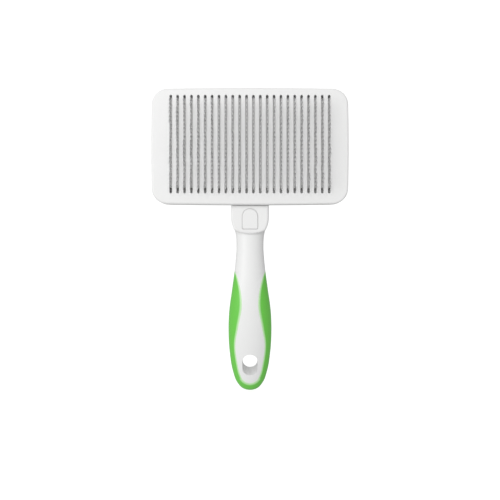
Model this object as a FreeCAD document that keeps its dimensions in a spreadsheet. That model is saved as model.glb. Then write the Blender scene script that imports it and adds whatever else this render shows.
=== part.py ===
"""Self-cleaning slicker brush for pet grooming, as a parametric FreeCAD document.

A hand brush with a rectangular head full of fine bent wires.  A slotted face plate lies over the wires.
Pressing the big button on the back pushes the plate out to the wire tips, so the fur lifts off, and four
springs bring it back.

Frame: +Z runs up the brush from the tail of the handle to the top of the head, -Y is the way that the
wires point, and X = 0 is the plane of symmetry.  The origin is the centre of the button's flat outer face.
A depth is a distance forward of that face, so it lies at Y = -depth.
"""

import FreeCAD
import Part
import math
import os

import Sketcher

# --------------------------------------------------------------------------------------------------
# Driving dimensions, in millimetres and degrees: what each cell means, and its value
# --------------------------------------------------------------------------------------------------

DIMENSIONS = [
    ("Face plate", [
        ("face_width", 128.6, "overall width of the head"),
        ("face_height", 76.0, "overall height of the head"),
        ("edge_crown", 0.6, "how far each edge bows out at its middle"),
        ("corner_radius", 10.5, "corner radius seen from the front"),
        ("face_round", 1.4, "rounding round the front edge"),
        ("plate_thickness", 2.2, "slotted wall"),
        ("skirt_depth", 5.3, "skirt behind the slotted wall"),
        ("skirt_wall", 1.8, "skirt wall"),
        ("slot_count", 24, "slots across the face"),
        ("slot_width", 1.6, "slot width"),
        ("side_margin", 12.8, "side of the head to the first slot's centre"),
        ("top_margin", 4.65, "top of the head to the slots"),
        ("bottom_margin", 7.35, "slots to the bottom of the head"),
    ]),
    ("Depth stack", [
        ("travel", 12.0, "stroke of the button and the face plate"),
        ("button_reserve", 1.0, "what still stands proud with the button pressed home"),
        ("shell_wall", 2.2, "wall of the back shell"),
        ("stop_gap", 0.2, "gap at each end of the stroke"),
        ("yoke_thickness", 2.5, "yoke plate"),
        ("tray_thickness", 2.5, "tray plate"),
        ("backing_thickness", 0.8, "woven backing of the pad"),
        ("pad_thickness", 2.5, "rubber pad"),
        ("plate_gap", 0.6, "gap between the pad and the face plate"),
    ]),
    ("Wires", [
        ("staples_per_row", 11, "wire staples in each row, two tines each"),
        ("wire_diameter", 0.4, "wire"),
        ("tip_shy", 0.2, "how far the tips stay below the plate at full stroke"),
        ("knee_rise", 5.5, "height of the knee above the face plate at rest"),
        ("knee_angle", 30.0, "how far the upper half leans towards the handle"),
        ("knee_radius", 1.2, "bend at the knee"),
        ("crown_radius", 0.45, "bend at the staple's crown"),
        ("first_tine_inset", 3.05, "top of the slot to the first tine"),
        ("last_tip_inset", 1.25, "last tip to the bottom of the slot"),
        ("pad_overhang", 1.4, "pad beyond the outer tines"),
    ]),
    ("Back shell and tray", [
        ("shell_inset", 0.8, "shell outline inside the face outline"),
        ("shell_round", 3.5, "rounding round the back edge"),
        ("slide_clearance", 0.4, "tray edge to the skirt"),
        ("lip_thickness", 1.4, "locating lip of the tray"),
        ("lip_depth", 1.5, "how far the lip reaches into the shell"),
        ("lip_half_length", 24.0, "half the length of each lip"),
        ("fit_clearance", 0.2, "between parts that nest without moving"),
        ("boss_join", 9.0, "shell's inner face to where its bosses meet the tray's"),
        ("shell_boss_radius", 3.4, "boss in the shell"),
        ("tray_boss_radius", 3.0, "boss behind the tray"),
        ("boss_side", 28.3, "bosses from the side of the head"),
        ("boss_edge", 7.5, "bosses from the top and bottom of the head"),
    ]),
    ("Plunger", [
        ("post_radius", 2.1, "guide post"),
        ("post_clearance", 0.1, "guide post in its hole"),
        ("post_inset", 6.9, "guide post from the side of the head"),
        ("post_drop", 16.0, "guide post from the top and bottom of the head"),
        ("spring_wire", 0.5, "spring wire diameter"),
        ("spring_gap", 0.4, "post to spring, and spring to its pocket"),
        ("spring_turns", 7.5, "turns in each spring"),
        ("spring_pocket", 4.5, "depth of the spring pockets"),
        ("pocket_wall", 1.0, "wall round each spring pocket"),
        ("pocket_floor", 1.2, "floor of each spring pocket"),
        ("yoke_bar", 16.0, "width of the yoke's crossbar"),
        ("yoke_pad_width", 52.0, "yoke behind the button, across"),
        ("yoke_pad_height", 31.0, "yoke behind the button, up and down"),
        ("yoke_end_width", 6.8, "width of the yoke's end bars"),
        ("button_width", 44.0, "button across"),
        ("button_height", 26.0, "button up and down"),
        ("button_wall", 2.2, "wall of the button"),
        ("button_round", 1.8, "rounding round the button's face"),
        ("button_clearance", 0.3, "button in its hole"),
        ("button_boss_radius", 3.0, "screw boss inside the button"),
        ("button_boss_spread", 24.0, "distance between the two bosses"),
    ]),
    ("Screws", [
        ("case_screw_radius", 1.25, "shank of the case screws"),
        ("case_head_radius", 2.3, "head of the case screws"),
        ("case_head_height", 1.7, "height of those heads"),
        ("case_thread", 7.0, "case screw beyond its seat"),
        ("case_seat", 2.4, "wall under the case screws' heads"),
        ("post_screw_radius", 0.9, "shank of the post screws"),
        ("post_head_radius", 1.8, "head of the post screws"),
        ("post_head_height", 1.2, "height of those heads"),
        ("post_thread", 7.0, "post screw beyond its seat"),
        ("screw_clearance", 0.05, "shank in its pilot hole"),
        ("head_clearance", 0.25, "head in its counterbore"),
    ]),
    ("Collar", [
        ("collar_width", 24.9, "collar at the head"),
        ("collar_straight", 8.0, "head to where the collar starts to narrow"),
        ("collar_mouth_width", 20.2, "collar at its lower corners"),
        ("collar_mouth_drop", 16.6, "head to the lower corners"),
        ("collar_length", 19.0, "head to the lowest point"),
        ("collar_gap", 0.35, "face plate to collar"),
        ("collar_front_wall", 5.2, "collar in front of the tongue's socket"),
        ("collar_step", 0.3, "collar's back face in front of the shell's rounding"),
        ("collar_round", 1.5, "rounding round the collar's faces"),
        ("handle_set", 11.6, "handle's axis at the collar in front of the shell's back"),
        ("spigot_width", 15.0, "tongue of the handle in the collar"),
        ("spigot_thickness", 8.0, "its thickness"),
        ("spigot_top", 2.0, "head to the end of the tongue"),
        ("spigot_clearance", 0.12, "tongue in its socket"),
        ("cap_width", 10.6, "screw cover in the collar"),
        ("cap_height", 13.7, "its height"),
        ("cap_top", 2.2, "head to the top of the cover"),
        ("cap_recess", 1.2, "depth of its recess"),
        ("cap_proud", 0.15, "how far it stands proud"),
        ("cap_clearance", 0.2, "gap round it"),
        ("cap_corner", 0.9, "its lower corners"),
        ("collar_screw_top", 6.6, "head to the upper collar screw"),
        ("collar_screw_spread", 5.6, "distance between the collar screws"),
        ("collar_head_seat", 1.75, "depth of the collar screws' counterbores"),
        ("collar_bite", 2.4, "grip of the collar screws in the rear half"),
    ]),
    ("Handle", [
        ("bend_start", 22.0, "head to where the handle starts to bend back"),
        ("bend_radius", 340.0, "radius of that bend"),
        ("grip_layer", 2.2, "thickness of the soft grip over the core"),
        ("spine_start", 42.6, "head to the points where the grip begins"),
        ("waist_drop", 65.5, "head to the waist of the bare spine"),
        ("waist_width", 10.8, "width of the spine there"),
        ("island_drop", 92.5, "head to the widest part of the spine's lower end"),
        ("island_width", 19.6, "width there"),
        ("island_end", 120.2, "head to the lower end of the spine"),
        ("slot_drop", 105.2, "head to the centre of the hanging slot"),
        ("hang_width", 10.2, "width of the hanging slot"),
        ("hang_length", 15.4, "length of the hanging slot"),
        ("hang_tilt", 17.0, "tilt of the hanging slot, square to the tail"),
    ]),
]

# Sections of the handle: name, distance below the head, width and thickness
HANDLE_SECTIONS = [
    ("root", 11.0, 23.4, 14.8),
    ("mouth", 16.6, 20.1, 14.4),
    ("throat", 20.5, 18.6, 14.2),
    ("neck", 27.0, 18.0, 14.2),
    ("shoulder", 39.0, 19.6, 15.4),
    ("hilt", 55.0, 23.8, 17.8),
    ("swell", 71.0, 28.1, 19.6),
    ("belly", 84.0, 29.1, 19.4),
    ("palm", 99.0, 27.6, 17.2),
    ("tail", 112.0, 23.6, 14.4),
    ("heel", 120.0, 18.2, 11.6),
    ("toe", 124.2, 11.6, 8.2),
    ("tip", 126.0, 4.4, 3.4),
]

SHEET = "dims"
HALF_ROUND = "half circle"


def cell(name):
    return f"{SHEET}.{name}"


# Depths of the faces in the stack, from the button's face forward, as expressions on the sheet
SHELL_BACK = "(dims.travel + dims.button_reserve)"
SHELL_INNER = f"({SHELL_BACK} + dims.shell_wall)"
YOKE_BACK = f"({SHELL_INNER} + dims.stop_gap)"
YOKE_FRONT = f"({YOKE_BACK} + dims.yoke_thickness)"
TRAY_BACK = f"({YOKE_FRONT} + dims.travel + dims.stop_gap)"
TRAY_FRONT = f"({TRAY_BACK} + dims.tray_thickness)"
BACKING_FRONT = f"({TRAY_FRONT} + dims.backing_thickness)"
PAD_FRONT = f"({BACKING_FRONT} + dims.pad_thickness)"
PLATE_INNER = f"({PAD_FRONT} + dims.plate_gap)"
PLATE_OUTER = f"({PLATE_INNER} + dims.plate_thickness)"
SKIRT_BACK = f"({PLATE_INNER} - dims.skirt_depth)"
TIP_DEPTH = f"({PLATE_OUTER} + dims.travel - dims.tip_shy)"
KNEE_DEPTH = f"({PLATE_OUTER} + dims.knee_rise)"
BOSS_JOIN = f"({SHELL_INNER} + dims.boss_join)"
POCKET_FLOOR = f"({TRAY_BACK} + dims.spring_pocket)"

# Places on the head's face, as expressions on the sheet
HALF_WIDTH = "(dims.face_width / 2)"
HALF_HEIGHT = "(dims.face_height / 2)"
SLOT_TOP = f"({HALF_HEIGHT} - dims.top_margin)"
SLOT_BOTTOM = f"(dims.bottom_margin - {HALF_HEIGHT})"
FIELD_HALF = f"({HALF_WIDTH} - dims.side_margin)"
TIP_LEAN = f"(({TIP_DEPTH} - {KNEE_DEPTH}) * tan(dims.knee_angle))"
FIRST_TINE = f"({SLOT_TOP} - dims.first_tine_inset)"
LAST_TINE = f"({SLOT_BOTTOM} + {TIP_LEAN} + dims.last_tip_inset)"
POST_X = f"({HALF_WIDTH} - dims.post_inset)"
POST_Z = f"({HALF_HEIGHT} - dims.post_drop)"
BOSS_X = f"({HALF_WIDTH} - dims.boss_side)"
BOSS_Z = f"({HALF_HEIGHT} - dims.boss_edge)"
TRAY_INSET = "(dims.skirt_wall + dims.slide_clearance)"
SPRING_RADIUS = "(dims.post_radius + dims.spring_gap + dims.spring_wire / 2)"
POCKET_RADIUS = f"({SPRING_RADIUS} + dims.spring_wire / 2 + 0.75 * dims.spring_gap)"
PILOT_CASE = "(dims.case_screw_radius + dims.screw_clearance)"
PILOT_POST = "(dims.post_screw_radius + dims.screw_clearance)"
BORE_CASE = "(dims.case_head_radius + dims.head_clearance)"
BORE_POST = "(dims.post_head_radius + dims.head_clearance)"
HANDLE_DEPTH = f"({SHELL_BACK} + dims.handle_set)"
COLLAR_BACK = f"({SHELL_BACK} + dims.shell_round + dims.collar_step)"
SOCKET_BACK = f"({HANDLE_DEPTH} - dims.spigot_thickness / 2 - dims.spigot_clearance)"
SOCKET_FRONT = f"({HANDLE_DEPTH} + dims.spigot_thickness / 2 + dims.spigot_clearance)"
COLLAR_FRONT = f"({SOCKET_FRONT} + dims.collar_front_wall)"
CAP_FLOOR = f"({COLLAR_FRONT} - dims.cap_recess)"
COLLAR_SEAT = f"({CAP_FLOOR} - dims.collar_head_seat)"
COLLAR_SCREWS = [
    f"-({HALF_HEIGHT} + dims.collar_screw_top)",
    f"-({HALF_HEIGHT} + dims.collar_screw_top + dims.collar_screw_spread)",
]

doc = FreeCAD.newDocument("slicker_brush")
sheet = doc.addObject("Spreadsheet::Sheet", SHEET)


# --------------------------------------------------------------------------------------------------
# Helpers
# --------------------------------------------------------------------------------------------------


def fill_sheet():
    """Writes every driving dimension to its own cell, with an alias and a note."""
    line = 1
    for title, rows in DIMENSIONS:
        sheet.set(f"A{line}", title)
        line += 1
        for name, number, note in rows:
            set_dimension(line, name, number, note)
            line += 1
    sheet.set(f"A{line}", "Handle sections")
    line += 1
    for name, drop, width, thickness in HANDLE_SECTIONS:
        for kind, number in (("drop", drop), ("width", width), ("thick", thickness)):
            set_dimension(line, f"{name}_{kind}", number, f"handle section {name}: {kind}")
            line += 1
    doc.recompute()


def set_dimension(line, name, number, note):
    sheet.set(f"A{line}", name)
    sheet.set(f"B{line}", str(number))
    sheet.set(f"C{line}", note)
    sheet.setAlias(f"B{line}", name)


def value(expression):
    """The number that an expression on the sheet gives now."""
    found = sheet.evalExpression(expression)
    return float(getattr(found, "Value", found))


def point(x, depth, z):
    """A point in the part's frame from its distance forward of the button's face."""
    return FreeCAD.Vector(x, -depth, z)


def new_body(label):
    body = doc.addObject("PartDesign::Body", label)
    body.Label = label
    return body


def sketch_at(body, name, depth):
    """A sketch facing forward, at a depth.  Its x is the part's X and its y is the part's Z."""
    sketch = body.newObject("Sketcher::SketchObject", name)
    plane = next(f for f in body.Origin.OriginFeatures if f.Role == "XZ_Plane")
    sketch.AttachmentSupport = [(plane, "")]
    sketch.MapMode = "FlatFace"
    sketch.setExpression("AttachmentOffset.Base.z", depth)
    return sketch


def constrain(sketch, name, expression, kind, *where):
    """Adds a named dimension to a sketch and binds it to an expression."""
    number = sketch.addConstraint(Sketcher.Constraint(kind, *where, value(expression)))
    sketch.renameConstraint(number, name)
    sketch.setExpression(f"Constraints.{name}", expression)


def pin_point(sketch, tag, geometry, end, x, y):
    """Fixes a vertex at (x, y), given as expressions."""
    for axis, line, expression in (("X", -2, x), ("Y", -1, y)):
        if expression == "0":
            sketch.addConstraint(Sketcher.Constraint("PointOnObject", geometry, end, line))
        else:
            constrain(sketch, f"{tag}_{axis}", expression, f"Distance{axis}", -1, 1, geometry, end)


def arc_through(centre, radius, start, end):
    circle = Part.Circle(FreeCAD.Vector(*centre, 0), FreeCAD.Vector(0, 0, 1), radius)
    return Part.ArcOfCircle(circle, start, end)


def outline(sketch, inset):
    """The head's outline, moved in by inset: four long bowed edges with tangent corner arcs."""
    width, height, crown = value(cell("face_width")), value(cell("face_height")), value(cell("edge_crown"))
    corner = value(f"dims.corner_radius - {inset}")
    bow = {
        "level": f"(dims.face_width ^ 2 / (8 * dims.edge_crown) + dims.edge_crown / 2)",
        "upright": f"(dims.face_height ^ 2 / (8 * dims.edge_crown) + dims.edge_crown / 2)",
    }
    level = width**2 / (8 * crown) + crown / 2 - value(inset)
    upright = height**2 / (8 * crown) + crown / 2 - value(inset)
    top_y = height / 2 - value(inset) - level
    side_x = width / 2 - value(inset) - upright
    x, y = width / 2 - value(inset) - corner, height / 2 - value(inset) - corner
    for _ in range(60):
        y = top_y + math.sqrt((level - corner) ** 2 - x * x)
        x = side_x + math.sqrt((upright - corner) ** 2 - y * y)
    a, b = math.atan2(y - top_y, x), math.atan2(y, x - side_x)
    half = math.pi
    for arc in (
        ((0, top_y), level, a, half - a),
        ((-x, y), corner, half - a, half - b),
        ((-side_x, 0), upright, half - b, half + b),
        ((-x, -y), corner, half + b, half + a),
        ((0, -top_y), level, half + a, 2 * half - a),
        ((x, -y), corner, 2 * half - a, 2 * half - b),
        ((side_x, 0), upright, -b, b),
        ((x, y), corner, b, a),
    ):
        sketch.addGeometry(arc_through(*arc), False)
    for i in range(8):
        sketch.addConstraint(Sketcher.Constraint("Tangent", i, 2, (i + 1) % 8, 1))
    for i in (0, 4):
        sketch.addConstraint(Sketcher.Constraint("PointOnObject", i, 3, -2))
    for i in (2, 6):
        sketch.addConstraint(Sketcher.Constraint("PointOnObject", i, 3, -1))
    for i, kind in ((0, "level"), (2, "upright"), (4, "level"), (6, "upright")):
        constrain(sketch, f"bow_{i}", f"{bow[kind]} - {inset}", "Radius", i)
    for i in (1, 3, 5, 7):
        constrain(sketch, f"corner_{i}", f"dims.corner_radius - {inset}", "Radius", i)
    constrain(sketch, "top_centre", f"dims.face_height / 2 - {bow['level']}", "DistanceY", -1, 1, 0, 3)
    constrain(sketch, "bottom_centre", f"{bow['level']} - dims.face_height / 2", "DistanceY", -1, 1, 4, 3)
    constrain(sketch, "left_centre", f"{bow['upright']} - dims.face_width / 2", "DistanceX", -1, 1, 2, 3)
    constrain(sketch, "right_centre", f"dims.face_width / 2 - {bow['upright']}", "DistanceX", -1, 1, 6, 3)


def profile(sketch, points, arcs=None):
    """A closed outline through points given as expressions, counterclockwise.

    arcs maps the number of an edge to the radius of its arc, or to HALF_ROUND for a half circle.
    """
    arcs = arcs or {}
    first = sketch.GeometryCount
    places = [(value(x), value(y)) for x, y in points]
    count = len(points)
    for i, (start, end) in enumerate(zip(places, places[1:] + places[:1])):
        if i not in arcs:
            line = Part.LineSegment(FreeCAD.Vector(*start, 0), FreeCAD.Vector(*end, 0))
            sketch.addGeometry(line, False)
            continue
        dx, dy = end[0] - start[0], end[1] - start[1]
        length = math.hypot(dx, dy)
        radius = length / 2 if arcs[i] == HALF_ROUND else value(arcs[i])
        back = math.sqrt(max(radius**2 - length**2 / 4, 0.0))
        middle = ((start[0] + end[0]) / 2, (start[1] + end[1]) / 2)
        centre = (middle[0] - dy / length * back, middle[1] + dx / length * back)
        a = math.atan2(start[1] - centre[1], start[0] - centre[0])
        b = math.atan2(end[1] - centre[1], end[0] - centre[0])
        sketch.addGeometry(arc_through(centre, radius, a, b if b > a else b + 2 * math.pi), False)
    for i in range(count):
        following = first + (i + 1) % count
        sketch.addConstraint(Sketcher.Constraint("Coincident", first + i, 2, following, 1))
    for i, (x, y) in enumerate(points):
        pin_point(sketch, f"p{first}_{i}", first + i, 1, x, y)
    for i, radius in arcs.items():
        if radius != HALF_ROUND:
            constrain(sketch, f"r{first}_{i}", radius, "Radius", first + i)
        elif abs(places[i][0] - places[(i + 1) % count][0]) < 1e-9:
            constrain(sketch, f"r{first}_{i}", points[i][0], "DistanceX", -1, 1, first + i, 3)
        else:
            constrain(sketch, f"r{first}_{i}", points[i][1], "DistanceY", -1, 1, first + i, 3)


def rectangle(sketch, left, right, bottom, top):
    profile(sketch, [(left, bottom), (right, bottom), (right, top), (left, top)])


def circles(sketch, places, radius):
    for x, y in places:
        centre = FreeCAD.Vector(value(x), value(y), 0)
        i = sketch.addGeometry(Part.Circle(centre, FreeCAD.Vector(0, 0, 1), value(radius)), False)
        pin_point(sketch, f"c{i}", i, 3, x, y)
        constrain(sketch, f"r{i}", radius, "Radius", i)


def stadium_level(sketch, width, height):
    """A slot shape lying on its side, centred on the origin."""
    right, top = f"(({width} - {height}) / 2)", f"({height} / 2)"
    left, bottom = f"-{right}", f"-{top}"
    corners = [(left, bottom), (right, bottom), (right, top), (left, top)]
    profile(sketch, corners, {1: HALF_ROUND, 3: HALF_ROUND})


def four(x, z):
    return [(x, z), (f"-{x}", z), (f"-{x}", f"-{z}"), (x, f"-{z}")]


def extrude(body, kind, name, sketch, length, forward):
    """A Pad or Pocket along Y, checked for having changed the body the right way."""
    before = body.Shape.Volume if body.Tip else 0.0
    feature = body.newObject(f"PartDesign::{kind}", name)
    feature.Profile = sketch
    feature.setExpression("Length", length)
    feature.Reversed = forward == (kind == "Pocket")
    doc.recompute()
    change = body.Shape.Volume - before
    if (change <= 1e-6) if kind == "Pad" else (change >= -1e-6):
        raise RuntimeError(f"{body.Label}: {name} changed the volume by {change:.4f}")
    return feature


def pad(body, name, sketch, length, forward=True):
    return extrude(body, "Pad", name, sketch, length, forward)


def pocket(body, name, sketch, length, forward):
    return extrude(body, "Pocket", name, sketch, length, forward)


def edges_where(shape, test):
    return [f"Edge{i + 1}" for i, edge in enumerate(shape.Edges) if test(edge)]


def lies_at(depth, x_limit=None, z_low=None, z_high=None):
    """A test for edges that lie wholly at one depth, inside limits on X and Z."""

    def test(edge):
        box = edge.BoundBox
        if abs(box.YMin + depth) > 1e-3 or abs(box.YMax + depth) > 1e-3:
            return False
        if x_limit is not None and max(abs(box.XMin), abs(box.XMax)) > x_limit:
            return False
        if z_low is not None and box.ZMin < z_low:
            return False
        return z_high is None or box.ZMax <= z_high

    return test


def fillet(body, name, base, test, radius):
    feature = body.newObject("PartDesign::Fillet", name)
    feature.Base = (base, edges_where(base.Shape, test))
    feature.setExpression("Radius", radius)
    doc.recompute()
    return feature


def shape_feature(label, shape):
    feature = doc.addObject("Part::Feature", label)
    feature.Label = label
    feature.Shape = shape
    return feature


# --------------------------------------------------------------------------------------------------
# Face plate: the slotted wall, its skirt and the four guide posts, moulded in one piece
# --------------------------------------------------------------------------------------------------


def make_face_plate():
    body = new_body("face_plate")
    blank = sketch_at(body, "face_outline", SKIRT_BACK)
    outline(blank, "0")
    block = pad(body, "face_block", blank, "dims.skirt_depth + dims.plate_thickness")
    rounded = fillet(body, "face_edge", block, lies_at(value(PLATE_OUTER)), cell("face_round"))
    body.Tip = rounded
    hollow = sketch_at(body, "skirt_inside", SKIRT_BACK)
    outline(hollow, "dims.skirt_wall")
    pocket(body, "skirt_hollow", hollow, cell("skirt_depth"), forward=True)
    posts = sketch_at(body, "post_circles", PLATE_INNER)
    circles(posts, four(POST_X, POST_Z), cell("post_radius"))
    pad(body, "guide_posts", posts, f"{PLATE_INNER} - {YOKE_FRONT}", forward=False)
    pilots = sketch_at(body, "post_pilots", YOKE_FRONT)
    circles(pilots, four(POST_X, POST_Z), PILOT_POST)
    pocket(body, "post_pilot_holes", pilots, "dims.post_thread", forward=True)
    slot = sketch_at(body, "first_slot", PLATE_OUTER)
    half = "(dims.slot_width / 2)"
    left, right = f"(-{FIELD_HALF} - {half})", f"({half} - {FIELD_HALF})"
    low, high = f"({SLOT_BOTTOM} + {half})", f"({SLOT_TOP} - {half})"
    profile(slot, [(left, low), (right, low), (right, high), (left, high)], {0: HALF_ROUND, 2: HALF_ROUND})
    cut = pocket(body, "slot", slot, "dims.plate_thickness", forward=False)
    row = body.newObject("PartDesign::LinearPattern", "slots")
    row.Originals = [cut]
    row.Direction = (slot, ["H_Axis"])
    row.setExpression("Length", f"2 * {FIELD_HALF}")
    row.setExpression("Occurrences", cell("slot_count"))
    body.Tip = row
    doc.recompute()
    return body


# --------------------------------------------------------------------------------------------------
# Collar: the housing that grips the handle's tongue, one half on the tray and one on the back shell
# --------------------------------------------------------------------------------------------------


def collar_outline(sketch, top):
    """The collar from the front: straight flanks that narrow to a mouth with a bowed lower edge."""
    width, mouth = "(dims.collar_width / 2)", "(dims.collar_mouth_width / 2)"
    straight = f"-({HALF_HEIGHT} + dims.collar_straight)"
    corner = f"-({HALF_HEIGHT} + dims.collar_mouth_drop)"
    sag = "(dims.collar_length - dims.collar_mouth_drop)"
    step = f"({width} - {mouth})"
    flank = f"(({step} ^ 2 + (dims.collar_mouth_drop - dims.collar_straight) ^ 2) / (2 * {step}))"
    profile(
        sketch,
        [
            (f"-{mouth}", corner),
            (mouth, corner),
            (width, straight),
            (width, top),
            (f"-{width}", top),
            (f"-{width}", straight),
        ],
        {0: f"(({mouth} ^ 2 + {sag} ^ 2) / (2 * {sag}))", 1: flank, 5: flank},
    )


def collar_top():
    """Where the collar's front half starts, just below the face plate."""
    return f"-({HALF_HEIGHT} + dims.collar_gap)"


def socket_rectangle(sketch):
    """The socket for the handle's tongue, seen from the front."""
    half = "(dims.spigot_width / 2 + dims.spigot_clearance)"
    top = f"-({HALF_HEIGHT} + dims.spigot_top - dims.spigot_clearance)"
    rectangle(sketch, f"-{half}", half, f"-({HALF_HEIGHT} + dims.collar_length + 1)", top)


def round_collar(body, name, base, depth):
    """Rounds the collar's face all the way round, except along the head."""
    width = value(cell("collar_width")) / 2
    low = -(value(HALF_HEIGHT) + value(cell("collar_length")) + 1)
    high = -(value(HALF_HEIGHT) - value(cell("shell_round")))
    test = lies_at(depth, x_limit=width + 0.1, z_low=low, z_high=high)

    def not_along_head(edge):
        return test(edge) and edge.BoundBox.ZMax - edge.BoundBox.ZMin > 0.1

    rounded = fillet(body, name, base, not_along_head, cell("collar_round"))
    body.Tip = rounded
    return rounded


def make_back_shell():
    body = new_body("back_shell")
    blank = sketch_at(body, "shell_outline", SHELL_BACK)
    outline(blank, "dims.shell_inset")
    block = pad(body, "shell_block", blank, f"{TRAY_BACK} - {SHELL_BACK}")
    rounded = fillet(body, "shell_edge", block, lies_at(value(SHELL_BACK)), cell("shell_round"))
    body.Tip = rounded
    shield = sketch_at(body, "collar_back_outline", COLLAR_BACK)
    collar_outline(shield, f"-({HALF_HEIGHT} - dims.shell_inset - dims.shell_wall / 2)")
    collar = pad(body, "collar_half", shield, f"{HANDLE_DEPTH} - {COLLAR_BACK}")
    round_collar(body, "collar_edge", collar, value(COLLAR_BACK))
    inside = sketch_at(body, "shell_inside", SHELL_INNER)
    outline(inside, "(dims.shell_inset + dims.shell_wall)")
    pocket(body, "shell_hollow", inside, f"{TRAY_BACK} - {SHELL_INNER}", forward=True)
    socket = sketch_at(body, "socket", SOCKET_BACK)
    socket_rectangle(socket)
    pocket(body, "socket_half", socket, f"{HANDLE_DEPTH} - {SOCKET_BACK}", forward=True)
    notch = sketch_at(body, "collar_notch", HANDLE_DEPTH)
    side = "(dims.collar_width / 2 + dims.fit_clearance)"
    inner_edge = f"-({HALF_HEIGHT} - dims.shell_inset - dims.shell_wall - 1)"
    rectangle(notch, f"-{side}", side, f"-({HALF_HEIGHT} + 1)", inner_edge)
    pocket(body, "notch", notch, f"{TRAY_BACK} - {HANDLE_DEPTH}", forward=True)
    hole = sketch_at(body, "button_hole", SHELL_BACK)
    wider, higher = (f"(dims.button_{size} + 2 * dims.button_clearance)" for size in ("width", "height"))
    stadium_level(hole, wider, higher)
    pocket(body, "button_opening", hole, cell("shell_wall"), forward=True)
    bosses = sketch_at(body, "boss_circles", SHELL_INNER)
    circles(bosses, four(BOSS_X, BOSS_Z), cell("shell_boss_radius"))
    pad(body, "bosses", bosses, cell("boss_join"))
    wells = sketch_at(body, "well_circles", SHELL_BACK)
    circles(wells, four(BOSS_X, BOSS_Z), BORE_CASE)
    pocket(body, "screw_wells", wells, f"{BOSS_JOIN} - dims.case_seat - {SHELL_BACK}", forward=True)
    holes = sketch_at(body, "hole_circles", BOSS_JOIN)
    circles(holes, four(BOSS_X, BOSS_Z), PILOT_CASE)
    pocket(body, "screw_holes", holes, cell("case_seat"), forward=False)
    pilots = sketch_at(body, "collar_pilots", SOCKET_BACK)
    circles(pilots, [("0", z) for z in COLLAR_SCREWS], PILOT_CASE)
    pocket(body, "collar_pilot_holes", pilots, "dims.collar_bite + dims.fit_clearance", forward=False)
    return body


def make_pin_tray():
    body = new_body("pin_tray")
    plate = sketch_at(body, "tray_outline", TRAY_BACK)
    outline(plate, TRAY_INSET)
    pad(body, "tray_plate", plate, cell("tray_thickness"))
    bridge = sketch_at(body, "bridge_outline", HANDLE_DEPTH)
    side = "(dims.collar_width / 2)"
    inner_edge = f"-({HALF_HEIGHT} - dims.shell_inset - dims.shell_wall - 0.8)"
    rectangle(bridge, f"-{side}", side, f"-({HALF_HEIGHT} + 2)", inner_edge)
    pad(body, "bridge", bridge, f"{SKIRT_BACK} - dims.stop_gap - {HANDLE_DEPTH}")
    shield = sketch_at(body, "collar_front_outline", HANDLE_DEPTH)
    collar_outline(shield, collar_top())
    collar = pad(body, "collar_half", shield, f"{COLLAR_FRONT} - {HANDLE_DEPTH}")
    round_collar(body, "collar_edge", collar, value(COLLAR_FRONT))
    socket = sketch_at(body, "socket", HANDLE_DEPTH)
    socket_rectangle(socket)
    pocket(body, "socket_half", socket, f"{SOCKET_FRONT} - {HANDLE_DEPTH}", forward=True)
    cups = sketch_at(body, "cup_circles", TRAY_BACK)
    circles(cups, four(POST_X, POST_Z), f"({POCKET_RADIUS} + dims.pocket_wall)")
    pad(body, "spring_cups", cups, "dims.spring_pocket + dims.pocket_floor")
    wells = sketch_at(body, "spring_circles", TRAY_BACK)
    circles(wells, four(POST_X, POST_Z), POCKET_RADIUS)
    pocket(body, "spring_pockets", wells, cell("spring_pocket"), forward=True)
    guides = sketch_at(body, "guide_circles", POCKET_FLOOR)
    circles(guides, four(POST_X, POST_Z), "(dims.post_radius + dims.post_clearance)")
    pocket(body, "guide_holes", guides, cell("pocket_floor"), forward=True)
    bosses = sketch_at(body, "boss_circles", BOSS_JOIN)
    circles(bosses, four(BOSS_X, BOSS_Z), cell("tray_boss_radius"))
    pad(body, "bosses", bosses, f"{TRAY_BACK} - {BOSS_JOIN}")
    lips = sketch_at(body, "lip_outline", f"{TRAY_BACK} - dims.lip_depth")
    outer = f"({HALF_HEIGHT} - dims.edge_crown - dims.shell_inset - dims.shell_wall - dims.fit_clearance)"
    long = "dims.lip_half_length"
    rectangle(lips, f"-{long}", long, f"({outer} - dims.lip_thickness)", outer)
    rectangle(lips, f"-{long}", long, f"-{outer}", f"(dims.lip_thickness - {outer})")
    pad(body, "lips", lips, cell("lip_depth"))
    pilots = sketch_at(body, "pilot_circles", BOSS_JOIN)
    circles(pilots, four(BOSS_X, BOSS_Z), PILOT_CASE)
    reach = "dims.case_thread - dims.case_seat + dims.fit_clearance"
    pocket(body, "pilot_holes", pilots, reach, forward=True)
    recess = sketch_at(body, "cap_outline", COLLAR_FRONT)
    cap_outline(recess, "0")
    pocket(body, "cap_pocket", recess, cell("cap_recess"), forward=False)
    wells = sketch_at(body, "collar_screw_wells", CAP_FLOOR)
    circles(wells, [("0", z) for z in COLLAR_SCREWS], BORE_CASE)
    pocket(body, "collar_counterbores", wells, cell("collar_head_seat"), forward=False)
    holes = sketch_at(body, "collar_screw_holes", COLLAR_SEAT)
    circles(holes, [("0", z) for z in COLLAR_SCREWS], PILOT_CASE)
    pocket(body, "collar_holes", holes, f"{COLLAR_SEAT} - {SOCKET_FRONT}", forward=False)
    return body


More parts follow.
